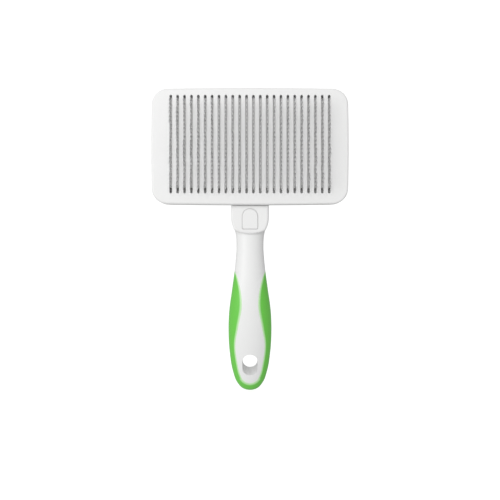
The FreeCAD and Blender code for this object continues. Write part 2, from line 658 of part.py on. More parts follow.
def cap_outline(sketch, inset):
    """An arch with a square foot, moved in by inset."""
    half = f"(dims.cap_width / 2 - {inset})"
    foot = f"(dims.cap_top + dims.cap_height + {HALF_HEIGHT} - {inset})"
    spring = f"(dims.cap_top + dims.cap_width / 2 + {HALF_HEIGHT})"
    corner = "dims.cap_corner"
    profile(
        sketch,
        [
            (f"({corner} - {half})", f"-{foot}"),
            (f"({half} - {corner})", f"-{foot}"),
            (half, f"({corner} - {foot})"),
            (half, f"-{spring}"),
            (f"-{half}", f"-{spring}"),
            (f"-{half}", f"({corner} - {foot})"),
        ],
        {1: cell("cap_corner"), 3: HALF_ROUND, 5: cell("cap_corner")},
    )


def make_collar_cap():
    body = new_body("collar_cap")
    shape = sketch_at(body, "cap_shape", CAP_FLOOR)
    cap_outline(shape, "dims.cap_clearance")
    pad(body, "cap", shape, "dims.cap_recess + dims.cap_proud")
    return body


# --------------------------------------------------------------------------------------------------
# Pad, backing and wires
# --------------------------------------------------------------------------------------------------


def make_layer(label, depth, thickness):
    body = new_body(label)
    sheet_outline = sketch_at(body, "layer_outline", depth)
    side = f"({FIELD_HALF} + dims.pad_overhang)"
    low, high = f"({LAST_TINE} - dims.pad_overhang)", f"({FIRST_TINE} + dims.pad_overhang)"
    rectangle(sheet_outline, f"-{side}", side, low, high)
    pad(body, "layer", sheet_outline, thickness)
    return body


def staple_shape(pitch):
    """One bent wire staple: two tines joined by a crown that lies in the backing, at x = 0.

    The first tine stands at z = 0 and the second at z = -pitch.
    """
    wire = value(cell("wire_diameter"))
    crown_depth = value(TRAY_FRONT) + wire / 2 + 0.05
    knee, tip = value(KNEE_DEPTH), value(TIP_DEPTH)
    lean = value(TIP_LEAN)
    corners = [
        point(0, tip, -lean),
        point(0, knee, 0),
        point(0, crown_depth, 0),
        point(0, crown_depth, -pitch),
        point(0, knee, -pitch),
        point(0, tip, -pitch - lean),
    ]
    knee_radius, crown_radius = value(cell("knee_radius")), value(cell("crown_radius"))
    path = rounded_path(corners, [knee_radius, crown_radius, crown_radius, knee_radius])
    start = path.Edges[0]
    direction = start.tangentAt(start.FirstParameter)
    section = Part.Wire([Part.Circle(corners[0], direction, wire / 2).toShape()])
    return path.makePipeShell([section], True, True)


def rounded_path(corners, radii):
    """A wire through corners, with an arc of each radius at the corners between its ends."""
    edges, at = [], corners[0]
    for before, corner, after, radius in zip(corners, corners[1:], corners[2:], radii):
        back, on = (before - corner).normalize(), (after - corner).normalize()
        turn = math.pi - back.getAngle(on)
        reach = radius * math.tan(turn / 2)
        start, end = corner + back * reach, corner + on * reach
        bisector = (back + on).normalize()
        middle = corner + bisector * (radius / math.cos(turn / 2) - radius)
        edges.append(Part.LineSegment(at, start).toShape())
        edges.append(Part.Arc(start, middle, end).toShape())
        at = end
    edges.append(Part.LineSegment(at, corners[-1]).toShape())
    return Part.Wire(edges)


def make_pin_rows():
    """One node for each row of wires, each a group of separate staples."""
    count, staples = int(value(cell("slot_count"))), int(value(cell("staples_per_row")))
    first, last = value(FIRST_TINE), value(LAST_TINE)
    pitch = (first - last) / (2 * staples - 1)
    half = value(FIELD_HALF)
    staple = staple_shape(pitch)
    for i in range(count):
        x = -half + 2 * half * i / (count - 1)
        places = [FreeCAD.Vector(x, 0, first - 2 * pitch * k) for k in range(staples)]
        copies = [staple.translated(place) for place in places]
        shape_feature(f"pin_row_{i + 1:02d}", Part.makeCompound(copies))


# --------------------------------------------------------------------------------------------------
# Plunger: button, yoke and springs
# --------------------------------------------------------------------------------------------------

BUTTON_SCREWS = [("(dims.button_boss_spread / 2)", "0"), ("-(dims.button_boss_spread / 2)", "0")]


def make_push_button():
    body = new_body("push_button")
    shape = sketch_at(body, "button_outline", "0 * dims.travel")
    stadium_level(shape, cell("button_width"), cell("button_height"))
    block = pad(body, "button_block", shape, YOKE_BACK)
    rounded = fillet(body, "button_edge", block, lies_at(0.0), cell("button_round"))
    body.Tip = rounded
    inside = sketch_at(body, "button_inside", cell("button_wall"))
    stadium_level(
        inside, "(dims.button_width - 2 * dims.button_wall)", "(dims.button_height - 2 * dims.button_wall)"
    )
    pocket(body, "button_hollow", inside, f"{YOKE_BACK} - dims.button_wall", forward=True)
    bosses = sketch_at(body, "button_bosses", cell("button_wall"))
    circles(bosses, BUTTON_SCREWS, cell("button_boss_radius"))
    pad(body, "screw_bosses", bosses, f"{YOKE_BACK} - dims.button_wall")
    pilots = sketch_at(body, "button_pilots", YOKE_BACK)
    circles(pilots, BUTTON_SCREWS, PILOT_POST)
    pocket(body, "pilot_holes", pilots, "dims.post_thread", forward=False)
    return body


def make_pusher_yoke():
    body = new_body("pusher_yoke")
    across = f"({POST_X} + dims.yoke_end_width / 2)"
    bar = sketch_at(body, "crossbar", YOKE_BACK)
    rectangle(bar, f"-{POST_X}", POST_X, "-(dims.yoke_bar / 2)", "(dims.yoke_bar / 2)")
    pad(body, "crossbar_pad", bar, cell("yoke_thickness"))
    centre = sketch_at(body, "button_pad", YOKE_BACK)
    rectangle(
        centre, "-(dims.yoke_pad_width / 2)", "(dims.yoke_pad_width / 2)",
        "-(dims.yoke_pad_height / 2)", "(dims.yoke_pad_height / 2)",
    )
    pad(body, "button_seat", centre, cell("yoke_thickness"))
    for side, left, right in (("right", f"({across} - dims.yoke_end_width)", across),
                              ("left", f"-{across}", f"-({across} - dims.yoke_end_width)")):
        end = sketch_at(body, f"{side}_bar", YOKE_BACK)
        corners = [(left, f"-{POST_Z}"), (right, f"-{POST_Z}"), (right, POST_Z), (left, POST_Z)]
        profile(end, corners, {0: HALF_ROUND, 2: HALF_ROUND})
        pad(body, f"{side}_end", end, cell("yoke_thickness"))
    wells = sketch_at(body, "post_wells", YOKE_BACK)
    circles(wells, four(POST_X, POST_Z), BORE_POST)
    well = "dims.post_head_height + dims.fit_clearance / 2"
    pocket(body, "post_counterbores", wells, well, forward=True)
    holes = sketch_at(body, "post_holes", YOKE_FRONT)
    circles(holes, four(POST_X, POST_Z) + BUTTON_SCREWS, PILOT_POST)
    pocket(body, "screw_holes", holes, cell("yoke_thickness"), forward=False)
    wells = sketch_at(body, "button_wells", YOKE_FRONT)
    circles(wells, BUTTON_SCREWS, BORE_POST)
    pocket(body, "button_counterbores", wells, well, forward=False)
    return body


def coil_shape(radius, length, turns, wire):
    """A coil spring along +Z, swept along a spline with twelve points in each turn."""
    steps = int(12 * turns)
    points = []
    for i in range(steps + 1):
        angle = 2 * math.pi * turns * i / steps
        rise = length * i / steps
        points.append(FreeCAD.Vector(radius * math.cos(angle), radius * math.sin(angle), rise))
    curve = Part.BSplineCurve()
    curve.interpolate(points)
    start = curve.tangent(curve.FirstParameter)[0]
    section = Part.Wire([Part.Circle(points[0], start, wire / 2).toShape()])
    return Part.Wire([curve.toShape()]).makePipeShell([section], True, True)


def make_springs():
    """Four coil springs round the posts, between the yoke and the tray."""
    wire = value(cell("spring_wire"))
    low, high = value(YOKE_FRONT) + 0.55 * wire, value(POCKET_FLOOR) - 0.55 * wire
    coil = coil_shape(value(SPRING_RADIUS), high - low, value(cell("spring_turns")), wire)
    coil.rotate(FreeCAD.Vector(), FreeCAD.Vector(1, 0, 0), 90)
    x, z = value(POST_X), value(POST_Z)
    for i, (sx, sz) in enumerate([(1, 1), (-1, 1), (-1, -1), (1, -1)]):
        shape_feature(f"return_spring_{i + 1}", coil.translated(point(sx * x, low, sz * z)))


# --------------------------------------------------------------------------------------------------
# Screws: pan heads with a cross recess, in groups that share a node
# --------------------------------------------------------------------------------------------------


def screw_shape(shank, head, height, length):
    """A screw along +Z with its seat at the origin and its head below it."""
    dome = Part.makeCylinder(head, height, FreeCAD.Vector(0, 0, -height))
    rim = [edge for edge in dome.Edges if abs(edge.BoundBox.ZMax + height) < 1e-6 and edge.Closed]
    dome = dome.makeFillet(0.45 * height, rim)
    tip = shank
    rod = Part.makeCylinder(shank, length - tip).fuse(
        Part.makeCone(shank, 0.35 * shank, tip, FreeCAD.Vector(0, 0, length - tip))
    )
    screw = dome.fuse(rod)
    wing, depth = 0.62 * head, 0.6 * height
    for angle in (0, 90):
        corner = FreeCAD.Vector(-wing, -0.15 * head, -height - depth)
        blade = Part.makeBox(2 * wing, 0.3 * head, 2 * depth, corner)
        blade.rotate(FreeCAD.Vector(), FreeCAD.Vector(0, 0, 1), angle)
        screw = screw.cut(blade)
    return screw.removeSplitter()


def screw_group(label, kind, length, seat, places, forward):
    """Screws of one kind with their seats at one depth, driven forward or backward."""
    sizes = ("screw_radius", "head_radius", "head_height")
    shank, head, height = (value(cell(f"{kind}_{size}")) for size in sizes)
    screw = screw_shape(shank, head, height, value(length))
    screw.rotate(FreeCAD.Vector(), FreeCAD.Vector(1, 0, 0), 90 if forward else -90)
    copies = [screw.translated(point(value(x), value(seat), value(z))) for x, z in places]
    return shape_feature(label, Part.makeCompound(copies))


def make_screws():
    case, post = cell("case_thread"), cell("post_thread")
    posts_seat = f"({YOKE_BACK} + dims.post_head_height + dims.fit_clearance / 2)"
    button_seat = f"({YOKE_FRONT} - dims.post_head_height - dims.fit_clearance / 2)"
    shorter = f"({post} - dims.fit_clearance)"
    screw_group("case_screws", "case", case, f"({BOSS_JOIN} - dims.case_seat)", four(BOSS_X, BOSS_Z), True)
    screw_group("post_screws", "post", shorter, posts_seat, four(POST_X, POST_Z), True)
    screw_group("button_screws", "post", shorter, button_seat, BUTTON_SCREWS, False)
    collar = [("0", z) for z in COLLAR_SCREWS]
    length = f"({COLLAR_SEAT} - {SOCKET_BACK} + dims.collar_bite)"
    screw_group("collar_screws", "case", length, COLLAR_SEAT, collar, False)


# --------------------------------------------------------------------------------------------------
# Handle: a core with a tongue at its top, and a soft grip moulded over its flanks and tail
# --------------------------------------------------------------------------------------------------


def bend_shift(drop):
    """How far the handle's axis has bent back at a distance below the head, as an expression."""
    return (
        f"(dims.bend_radius - sqrt(dims.bend_radius ^ 2 - max({drop} - dims.bend_start; 0) ^ 2))"
    )


def handle_loft(label, layer, sections):
    """The handle's form, moved in by layer: a loft through ellipses along the bent axis."""
    rings = []
    for name, *_ in sections:
        ring = doc.addObject("Part::Ellipse", f"{label}_{name}")
        drop = f"dims.{name}_drop"
        ring.MinorRadius = 1e-3
        ring.setExpression("MajorRadius", f"dims.{name}_width / 2 - {layer}")
        ring.setExpression("MinorRadius", f"dims.{name}_thick / 2 - {layer}")
        ring.setExpression("Placement.Base.y", f"{bend_shift(drop)} - {HANDLE_DEPTH}")
        ring.setExpression("Placement.Base.z", f"-({HALF_HEIGHT} + {drop})")
        rings.append(ring)
    loft = doc.addObject("Part::Loft", label)
    loft.Sections = rings
    loft.Solid = True
    loft.Ruled = False
    loft.Closed = False
    return loft


def spine_prism():
    """The bare strip of the handle from the front: wide at the neck, a waist, and a rounded lower end."""
    top = value(HALF_HEIGHT)
    levels = ("spine_start", "waist_drop", "island_drop", "island_end")
    start, waist, island, end = (value(cell(name)) for name in levels)
    waist_half, island_half = value(cell("waist_width")) / 2, value(cell("island_width")) / 2
    open_half = value(cell("belly_width")) / 2 + 5
    shoulder = (start + waist) / 2
    right = [
        (open_half, start - 8),
        (0.55 * value(cell("shoulder_width")), start),
        (waist_half + 1.1, shoulder + 1),
        (waist_half, waist),
        (0.52 * (waist_half + island_half), (waist + island) / 2 + 2),
        (island_half, island),
        (0.86 * island_half, (island + end) / 2),
        (0.65 * island_half, end - 0.7 * island_half),
    ]
    left = [(-x, drop) for x, drop in reversed(right)]
    outline_points = [FreeCAD.Vector(x, 60, -(top + drop)) for x, drop in right + [(0, end)] + left]
    curve = Part.BSplineCurve()
    curve.interpolate(outline_points)
    lid = [
        outline_points[-1],
        FreeCAD.Vector(-open_half, 60, -top),
        FreeCAD.Vector(open_half, 60, -top),
        outline_points[0],
    ]
    wire = Part.Wire([curve.toShape()] + Part.makePolygon(lid).Edges)
    return Part.Face(wire).extrude(FreeCAD.Vector(0, -120, 0))


def hanging_slot():
    """The stadium-shaped hole through the tail, square to the bent tail."""
    half, length = value(cell("hang_width")) / 2, value(cell("hang_length"))
    drop = cell("slot_drop")
    centre = point(0, value(f"{HANDLE_DEPTH} - {bend_shift(drop)}"), -value(f"{HALF_HEIGHT} + {drop}"))
    reach = 40.0
    straight = length / 2 - half
    box = Part.makeBox(2 * half, reach, 2 * straight, FreeCAD.Vector(-half, -reach / 2, -straight))
    for z in (-straight, straight):
        start = FreeCAD.Vector(0, -reach / 2, z)
        box = box.fuse(Part.makeCylinder(half, reach, start, FreeCAD.Vector(0, 1, 0)))
    slot = box.removeSplitter()
    slot.rotate(FreeCAD.Vector(), FreeCAD.Vector(1, 0, 0), value(cell("hang_tilt")))
    return slot.translated(centre)


def tongue():
    """The flat tongue that the collar clamps, with its two screw holes."""
    width, thickness = value(cell("spigot_width")), value(cell("spigot_thickness"))
    top = -(value(HALF_HEIGHT) + value(cell("spigot_top")))
    low = -(value(HALF_HEIGHT) + value(cell("collar_length")) + 3)
    depth = value(HANDLE_DEPTH)
    corner = FreeCAD.Vector(-width / 2, -depth - thickness / 2, low)
    return Part.makeBox(width, thickness, top - low, corner)


def collar_space():
    """The collar's outline as a block through the whole depth, a fit clearance larger below."""
    body = new_body("collar_space")
    shield = sketch_at(body, "space_outline", "0 * dims.travel")
    collar_outline(shield, f"(0 * dims.travel - {HALF_HEIGHT} + 20)")
    pad(body, "space", shield, "60 + 0 * dims.travel")
    return body


def tongue_holes():
    """Clearance holes for the collar screws."""
    radius = value(f"{PILOT_CASE} + dims.fit_clearance")
    length = 2 * value(cell("spigot_thickness"))
    start = value(f"{HANDLE_DEPTH} - dims.spigot_thickness")
    forward = FreeCAD.Vector(0, -1, 0)
    places = [point(0, start, value(z)) for z in COLLAR_SCREWS]
    return Part.makeCompound([Part.makeCylinder(radius, length, place, forward) for place in places])


def boolean(kind, label, base, tool):
    feature = doc.addObject(f"Part::{kind}", label)
    feature.Base, feature.Tool = base, tool
    doc.recompute()
    return feature


def make_handle():
    envelope = handle_loft("handle_form", "0", HANDLE_SECTIONS)
    inner = handle_loft("core_form", "dims.grip_layer", HANDLE_SECTIONS[:-1])
    slot = shape_feature("hanging_slot", hanging_slot())
    window = shape_feature("spine_window", spine_prism())
    spigot = shape_feature("tongue_form", tongue())
    holes = shape_feature("tongue_drills", tongue_holes())
    space = collar_space()
    slotted = boolean("Cut", "slotted_form", envelope, slot)
    flanks = boolean("Cut", "grip_flanks", slotted, window)
    grip = boolean("Cut", "grip_overmould", flanks, inner)
    bare = boolean("Cut", "bare_core", slotted, grip)
    shouldered = boolean("Cut", "shouldered_core", bare, space)
    joined = boolean("Fuse", "tongued_core", shouldered, spigot)
    core = boolean("Cut", "handle_core", joined, holes)
    return core, grip


# --------------------------------------------------------------------------------------------------
# Build, check and write
# --------------------------------------------------------------------------------------------------

fill_sheet()
make_face_plate()
make_back_shell()
make_pin_tray()
make_collar_cap()
make_layer("pad_backing", TRAY_FRONT, cell("backing_thickness"))
make_layer("cushion_pad", BACKING_FRONT, cell("pad_thickness"))
make_pin_rows()
make_push_button()
make_pusher_yoke()
make_springs()
make_screws()
make_handle()
doc.recompute()

NODES = (
    ["face_plate", "back_shell", "pin_tray", "collar_cap", "pad_backing", "cushion_pad"]
    + [f"pin_row_{i + 1:02d}" for i in range(int(value(cell("slot_count"))))]
    + ["push_button", "pusher_yoke"]
    + [f"return_spring_{i + 1}" for i in range(4)]
    + ["case_screws", "post_screws", "button_screws", "collar_screws"]
    + ["handle_core", "grip_overmould"]
)

for item in doc.Objects:
    if "Invalid" in item.State or "Error" in item.State:
        raise RuntimeError(f"{item.Label} failed: {item.State}")

os.makedirs("parts", exist_ok=True)
for old in os.listdir("parts"):
    if old.endswith(".step"):
        os.remove(os.path.join("parts", old))
for node in NODES:
    part = next(item for item in doc.Objects if item.Label == node)
    shape = part.Shape
    if shape.isNull() or not shape.isValid() or not shape.Solids or shape.Volume <= 0:
        raise RuntimeError(f"{node} has no valid solid")
    shape.exportStep(os.path.join("parts", f"{node}.step"))
print(f"{len(NODES)} sub-parts written")
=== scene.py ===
"""Self-cleaning slicker brush, upright: a slotted white head full of bent wires, a collar with an arch-shaped
cover, and a white handle with a soft green grip moulded round it.  Metres, +Z up, front at -Y."""
import math

import bmesh
import bpy
from mathutils import Matrix, Vector


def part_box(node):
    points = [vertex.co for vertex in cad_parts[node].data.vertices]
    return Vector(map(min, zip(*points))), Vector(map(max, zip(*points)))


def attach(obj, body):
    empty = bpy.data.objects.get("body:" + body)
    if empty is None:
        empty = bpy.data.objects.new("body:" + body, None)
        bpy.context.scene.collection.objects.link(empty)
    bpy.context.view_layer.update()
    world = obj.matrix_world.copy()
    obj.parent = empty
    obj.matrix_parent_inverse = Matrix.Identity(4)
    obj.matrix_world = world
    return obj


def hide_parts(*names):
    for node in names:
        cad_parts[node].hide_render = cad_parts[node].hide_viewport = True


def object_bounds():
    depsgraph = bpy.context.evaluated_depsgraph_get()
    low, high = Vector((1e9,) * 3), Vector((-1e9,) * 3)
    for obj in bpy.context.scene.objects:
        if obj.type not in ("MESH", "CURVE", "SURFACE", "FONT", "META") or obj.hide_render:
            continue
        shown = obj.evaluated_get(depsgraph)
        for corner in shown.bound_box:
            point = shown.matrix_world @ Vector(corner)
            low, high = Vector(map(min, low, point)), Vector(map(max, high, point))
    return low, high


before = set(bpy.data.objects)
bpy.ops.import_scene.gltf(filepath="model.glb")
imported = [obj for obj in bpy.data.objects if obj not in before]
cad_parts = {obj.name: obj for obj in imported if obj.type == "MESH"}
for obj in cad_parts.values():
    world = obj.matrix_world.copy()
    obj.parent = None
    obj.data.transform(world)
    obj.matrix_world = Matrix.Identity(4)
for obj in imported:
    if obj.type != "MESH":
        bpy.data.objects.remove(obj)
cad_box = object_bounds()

MM = 0.001

# ---------------------------------------------------------------------------------------------------------
# Camera, table and light.  The brush is held upright over a plain white table inside a plain white tent.
# The room's soft light is strongest from the front and the left, with one soft lamp on the left and one in
# front, above the camera.
CAMERA_DISTANCE = 480 * MM
CAMERA_HEIGHT = -67.5 * MM
FIELD_OF_VIEW = math.radians(37.4)
TABLE_GAP = 1.5 * MM
TABLE_SIZE = 2.5
TENT_RADIUS = 4.0
ROOM_LIGHT = 0.565
ROOM_SLOPE = (-0.11, -0.18, 0.05)
TENT_WHITE = 1.02
TABLE_WHITE = 0.8
LEFT_LAMP = ((-0.8, -0.95, 0.1), 0.7, 2.9)  # place, size, watts
FRONT_LAMP = ((-0.25, -1.65, 0.6), 0.5, 4.6)

front_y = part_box("face_plate")[0].y
camera = bpy.data.objects.new("camera", bpy.data.cameras.new("camera"))
camera.data.angle = FIELD_OF_VIEW
camera.data.clip_start = 10 * MM
camera.location = (0, front_y - CAMERA_DISTANCE, CAMERA_HEIGHT)
camera.rotation_euler = (math.radians(90), 0, 0)
bpy.context.collection.objects.link(camera)
bpy.context.scene.camera = camera
bpy.context.scene.view_settings.view_transform = "Standard"


class Signal:
    """One output of a material's nodes.  Arithmetic on it adds Math nodes."""

    def __init__(self, finish, socket):
        self.finish = finish
        self.socket = socket

    def maths(self, operation, first, second):
        return self.finish.node("ShaderNodeMath", {"operation": operation}, {0: first, 1: second})

    def __add__(self, other):
        return self.maths("ADD", self, other)

    def __radd__(self, other):
        return self.maths("ADD", other, self)

    def __sub__(self, other):
        return self.maths("SUBTRACT", self, other)

    def __rsub__(self, other):
        return self.maths("SUBTRACT", other, self)

    def __mul__(self, other):
        return self.maths("MULTIPLY", self, other)

    def __rmul__(self, other):
        return self.maths("MULTIPLY", other, self)


class Finish:
    """The nodes of one material or of the studio's light."""

    def __init__(self, owner):
        owner.use_nodes = True
        self.owner = owner
        self.tree = owner.node_tree
        self.tree.nodes.clear()

    def node(self, kind, settings=None, sockets=None, output=0):
        made = self.tree.nodes.new(kind)
        for name, value in (settings or {}).items():
            setattr(made, name, value)
        for name, value in (sockets or {}).items():
            if isinstance(value, Signal):
                self.tree.links.new(value.socket, made.inputs[name])
            else:
                made.inputs[name].default_value = value
        return Signal(self, made.outputs[output]) if made.outputs else None


def blank_finish(name):
    return Finish(bpy.data.materials.new(name))


def studio_light():
    """Soft light from every side, rising evenly along one slope."""
    studio = Finish(bpy.data.worlds.new("studio"))
    way = studio.node("ShaderNodeTexCoord", output="Generated")
    slope = studio.node(
        "ShaderNodeVectorMath", {"operation": "DOT_PRODUCT"}, {0: way, 1: ROOM_SLOPE}, "Value")
    glow = studio.node("ShaderNodeBackground", sockets={
        "Color": (1, 1, 1, 1), "Strength": ROOM_LIGHT + slope})
    studio.node("ShaderNodeOutputWorld", sockets={"Surface": glow})
    return studio.owner


def lamp(name, aim, place, size, watts):
    light = bpy.data.lights.new(name, "AREA")
    light.size = size
    light.energy = watts
    made = bpy.data.objects.new(name, light)
    made.location = place
    made.rotation_euler = (Vector(aim) - Vector(place)).to_track_quat("-Z", "Y").to_euler()
    bpy.context.collection.objects.link(made)


def plain_white(name, grey, glow):
    """Matt white cloth or card with a very faint cloudiness."""
    card = blank_finish(name)
    place = card.node("ShaderNodeTexCoord", output="Object")
    cloud = card.node("ShaderNodeTexNoise", sockets={"Vector": place, "Scale": 3.0, "Detail": 2.0})
    matt = card.node("ShaderNodeBsdfPrincipled", sockets={
        "Base Color": (grey, grey, grey, 1), "Roughness": 0.85 + 0.1 * cloud,
        "Emission Color": (1, 1, 1, 1), "Emission Strength": glow})
    card.node("ShaderNodeOutputMaterial", sockets={"Surface": matt})
    return card.owner


def stand_in_room(name, shape, finish):
    """A part of the room, which shows behind the brush and leaves the light on it as it is."""
    mesh = bpy.data.meshes.new(name)
    shape.to_mesh(mesh)
    shape.free()
    mesh.materials.append(finish)
    made = bpy.data.objects.new(name, mesh)
    bpy.context.collection.objects.link(made)
    made.visible_diffuse = False
    made.visible_glossy = False
    made.visible_shadow = False


bpy.context.scene.world = studio_light()
middle = (0, 0, (cad_box[0].z + cad_box[1].z) / 2)
lamp("left_lamp", middle, *LEFT_LAMP)
lamp("front_lamp", middle, *FRONT_LAMP)

table_shape = bmesh.new()
bmesh.ops.create_circle(table_shape, cap_ends=True, segments=64, radius=TABLE_SIZE)
bmesh.ops.translate(table_shape, verts=table_shape.verts, vec=(0, 0, cad_box[0].z - TABLE_GAP))
stand_in_room("table", table_shape, plain_white("table_white", 0.5, TABLE_WHITE))
tent_shape = bmesh.new()
bmesh.ops.create_uvsphere(tent_shape, u_segments=48, v_segments=24, radius=TENT_RADIUS)
stand_in_room("tent", tent_shape, plain_white("tent_white", 0.1, TENT_WHITE))

# ---------------------------------------------------------------------------------------------------------
# Back shell.  The moulded back of the head, with the rear half of the collar.  Satin white ABS from a
# spark-eroded tool, so it has a very fine even texture, and it is held by four screws from behind.
SMOOTH_ANGLE = math.radians(32)
WHITE = (0.90, 0.90, 0.90, 1)
WARM_WHITE = (0.875, 0.875, 0.865, 1)
SPARK_GRAIN = 0.35 * MM
SPARK_DEPTH = 0.012 * MM


def new_piece(name, mesh, finish):
    """A piece from a mesh: doubles merged, faces outwards, one material."""
    shape = bmesh.new()
    shape.from_mesh(mesh)
    bmesh.ops.remove_doubles(shape, verts=shape.verts, dist=0.002 * MM)
    bmesh.ops.dissolve_degenerate(shape, edges=shape.edges, dist=0.001 * MM)
    bmesh.ops.recalc_face_normals(shape, faces=shape.faces)
    shape.to_mesh(mesh)
    shape.free()
    mesh.materials.clear()
    mesh.materials.append(finish)
    piece = bpy.data.objects.new(name, mesh)
    bpy.context.collection.objects.link(piece)
    return piece


def settle(piece):
    """Works out a piece's modifiers and leaves it as one plain mesh."""
    bpy.context.view_layer.update()
    finish = piece.data.materials[0]
    graph = bpy.context.evaluated_depsgraph_get()
    mesh = bpy.data.meshes.new_from_object(
        piece.evaluated_get(graph), preserve_all_data_layers=True, depsgraph=graph)
    piece.modifiers.clear()
    piece.data = mesh
    mesh.materials.clear()
    mesh.materials.append(finish)
    mesh.polygons.foreach_set("material_index", [0] * len(mesh.polygons))
    return piece


def smooth(piece, angle=SMOOTH_ANGLE):
    """Soft shading that keeps the flat faces flat and breaks at the edges."""
    piece.data.shade_smooth()
    piece.data.set_sharp_from_angle(angle=angle)
    evener = piece.modifiers.new("even_shading", "WEIGHTED_NORMAL")
    evener.keep_sharp = True
    evener.weight = 80
    return settle(piece)


def moulded_copy(node, name, finish):
    """A CAD node's own shape as a welded, softly shaded piece that stands for it."""
    shape = bmesh.new()
    shape.from_mesh(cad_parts[node].data)
    bmesh.ops.remove_doubles(shape, verts=shape.verts, dist=0.002 * MM)
    mesh = bpy.data.meshes.new(name)
    bare = bmesh.new()
    corners = [bare.verts.new(v.co) for v in shape.verts]
    for face in shape.faces:
        bare.faces.new([corners[v.index] for v in face.verts])
    bare.to_mesh(mesh)
    bare.free()
    shape.free()
    piece = smooth(new_piece(name, mesh, finish))
    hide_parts(node)
    return piece


def noise(finish, size, detail=2.0, stretch=(1, 1, 1)):
    """Soft random clouds about one size across, as a number from 0 to 1."""
    place = finish.node("ShaderNodeTexCoord", output="Object")
    turned = finish.node("ShaderNodeMapping", sockets={"Vector": place, "Scale": stretch})
    return finish.node("ShaderNodeTexNoise", sockets={
        "Vector": turned, "Scale": 1 / size, "Detail": detail})


def blend(finish, share, first, second):
    """Colour that goes from the first to the second as the share goes from 0 to 1."""
    return finish.node("ShaderNodeMix", {"data_type": "RGBA"}, {0: share, 6: first, 7: second}, output=2)


def relief(finish, height, depth, strength=1.0):
    return finish.node("ShaderNodeBump", sockets={
        "Height": height, "Distance": depth, "Strength": strength})


def surface(finish, sockets):
    """Ends a material with one shader and gives the material."""
    shader = finish.node("ShaderNodeBsdfPrincipled", sockets=sockets)
    finish.node("ShaderNodeOutputMaterial", sockets={"Surface": shader})
    return finish.owner


def moulded_plastic(name, colour=WHITE, worn=WARM_WHITE, roughness=0.34):
    """Injection-moulded plastic: spark texture, faint flow clouds, and a few duller hand-rubbed patches."""
    plastic = blank_finish(name)
    flow = noise(plastic, 30 * MM)
    rubbed = noise(plastic, 9 * MM, 4.0)
    spark = noise(plastic, SPARK_GRAIN, 3.0)
    return surface(plastic, {
        "Base Color": blend(plastic, 0.55 * flow + 0.25 * rubbed, colour, worn),
        "Roughness": roughness - 0.06 + 0.12 * rubbed + 0.05 * spark,
        "IOR": 1.52,
        "Normal": relief(plastic, spark, SPARK_DEPTH)})


back_shell = moulded_copy("back_shell", "back_casing", moulded_plastic("shell_white"))
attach(back_shell, "housing")

# ---------------------------------------------------------------------------------------------------------
# Pin tray.  The plate that carries the wires, with the spring cups and the front half of the collar moulded
# on it.  The same satin white ABS as the back shell, screwed to it.
pin_tray = moulded_copy("pin_tray", "wire_tray", moulded_plastic("tray_white"))
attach(pin_tray, "housing")

# ---------------------------------------------------------------------------------------------------------
# Pad backing.  A layer of woven cotton under the pad, which the crowns of the wire staples bear on.
# Unbleached yarn in a plain weave, glued to the tray.
YARN = 0.55 * MM


def woven_cotton():
    cloth = blank_finish("cotton_weave")
    place = cloth.node("ShaderNodeTexCoord", output="Object")
    thread = {"Vector": place, "Scale": 1 / YARN / math.tau * 2, "Distortion": 0.6}
    across = cloth.node("ShaderNodeTexWave", {"wave_type": "BANDS", "bands_direction": "X"}, thread)
    along = cloth.node("ShaderNodeTexWave", {"wave_type": "BANDS", "bands_direction": "Z"}, thread)
    weave = across.maths("MAXIMUM", across, along)
    lint = noise(cloth, 1.2 * MM, 4.0)
    return surface(cloth, {
        "Base Color": blend(cloth, weave * 0.7 + lint * 0.3, (0.42, 0.38, 0.31, 1), (0.72, 0.69, 0.62, 1)),
        "Roughness": 0.85 + 0.1 * lint,
        "Normal": relief(cloth, weave, 0.12 * MM)})


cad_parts["pad_backing"].material_slots[0].material = woven_cotton()

# ---------------------------------------------------------------------------------------------------------
# Cushion pad.  An off-white rubber sheet that every wire is pushed through, so that the wires can give.
# Moulded with rounded edges and dusted with talc, it lies on the backing.
PAD_ROUND = 0.6 * MM
PAD_CORNER = 1.5 * MM
ROUND_STEPS = 5


def skin(name, rings):
    """A mesh skinned over rings of equal length, with a flat face over each end."""
    count = len(rings[0])
    shape = bmesh.new()
    rows = [[shape.verts.new(place) for place in ring] for ring in rings]
    for near, far in zip(rows, rows[1:]):
        for i in range(count):
            j = (i + 1) % count
            shape.faces.new((near[i], near[j], far[j], far[i]))
    shape.faces.new(rows[0][::-1])
    shape.faces.new(rows[-1])
    mesh = bpy.data.meshes.new(name)
    shape.to_mesh(mesh)
    shape.free()
    return mesh


def arc(centre, radius, start, end, steps):
    """Points on a round stretch of outline, as (x, z), ends included."""
    turns = [start + (end - start) * i / steps for i in range(steps + 1)]
    x, z = centre
    return [(x + radius * math.cos(turn), z + radius * math.sin(turn)) for turn in turns]


def rounded_rectangle(left, low, right, high, radius, inset):
    """The outline of a rectangle with round corners, brought in by the inset."""
    quarter = math.pi / 2
    r = max(radius - inset, 0.02 * MM)
    grip = max(radius, inset + 0.02 * MM)
    centres = [(right - grip, high - grip), (left + grip, high - grip), (left + grip, low + grip),
               (right - grip, low + grip)]
    return [p for i, c in enumerate(centres) for p in arc(c, r, i * quarter, (i + 1) * quarter, 6)]


def at_depth(outline, depth):
    """An outline set upright at one depth behind the front, as points in space."""
    return [(x, -depth, z) for x, z in outline]


def edge_round(radius, depth, inwards, steps=ROUND_STEPS):
    """(inset, depth) pairs round an edge that ends on the face at that depth; inwards is 1 at a back face."""
    quarter = math.pi / 2
    turns = [quarter * i / steps for i in range(steps + 1)]
    return [(radius * (1 - math.cos(a)), depth + inwards * radius * (1 - math.sin(a))) for a in turns]


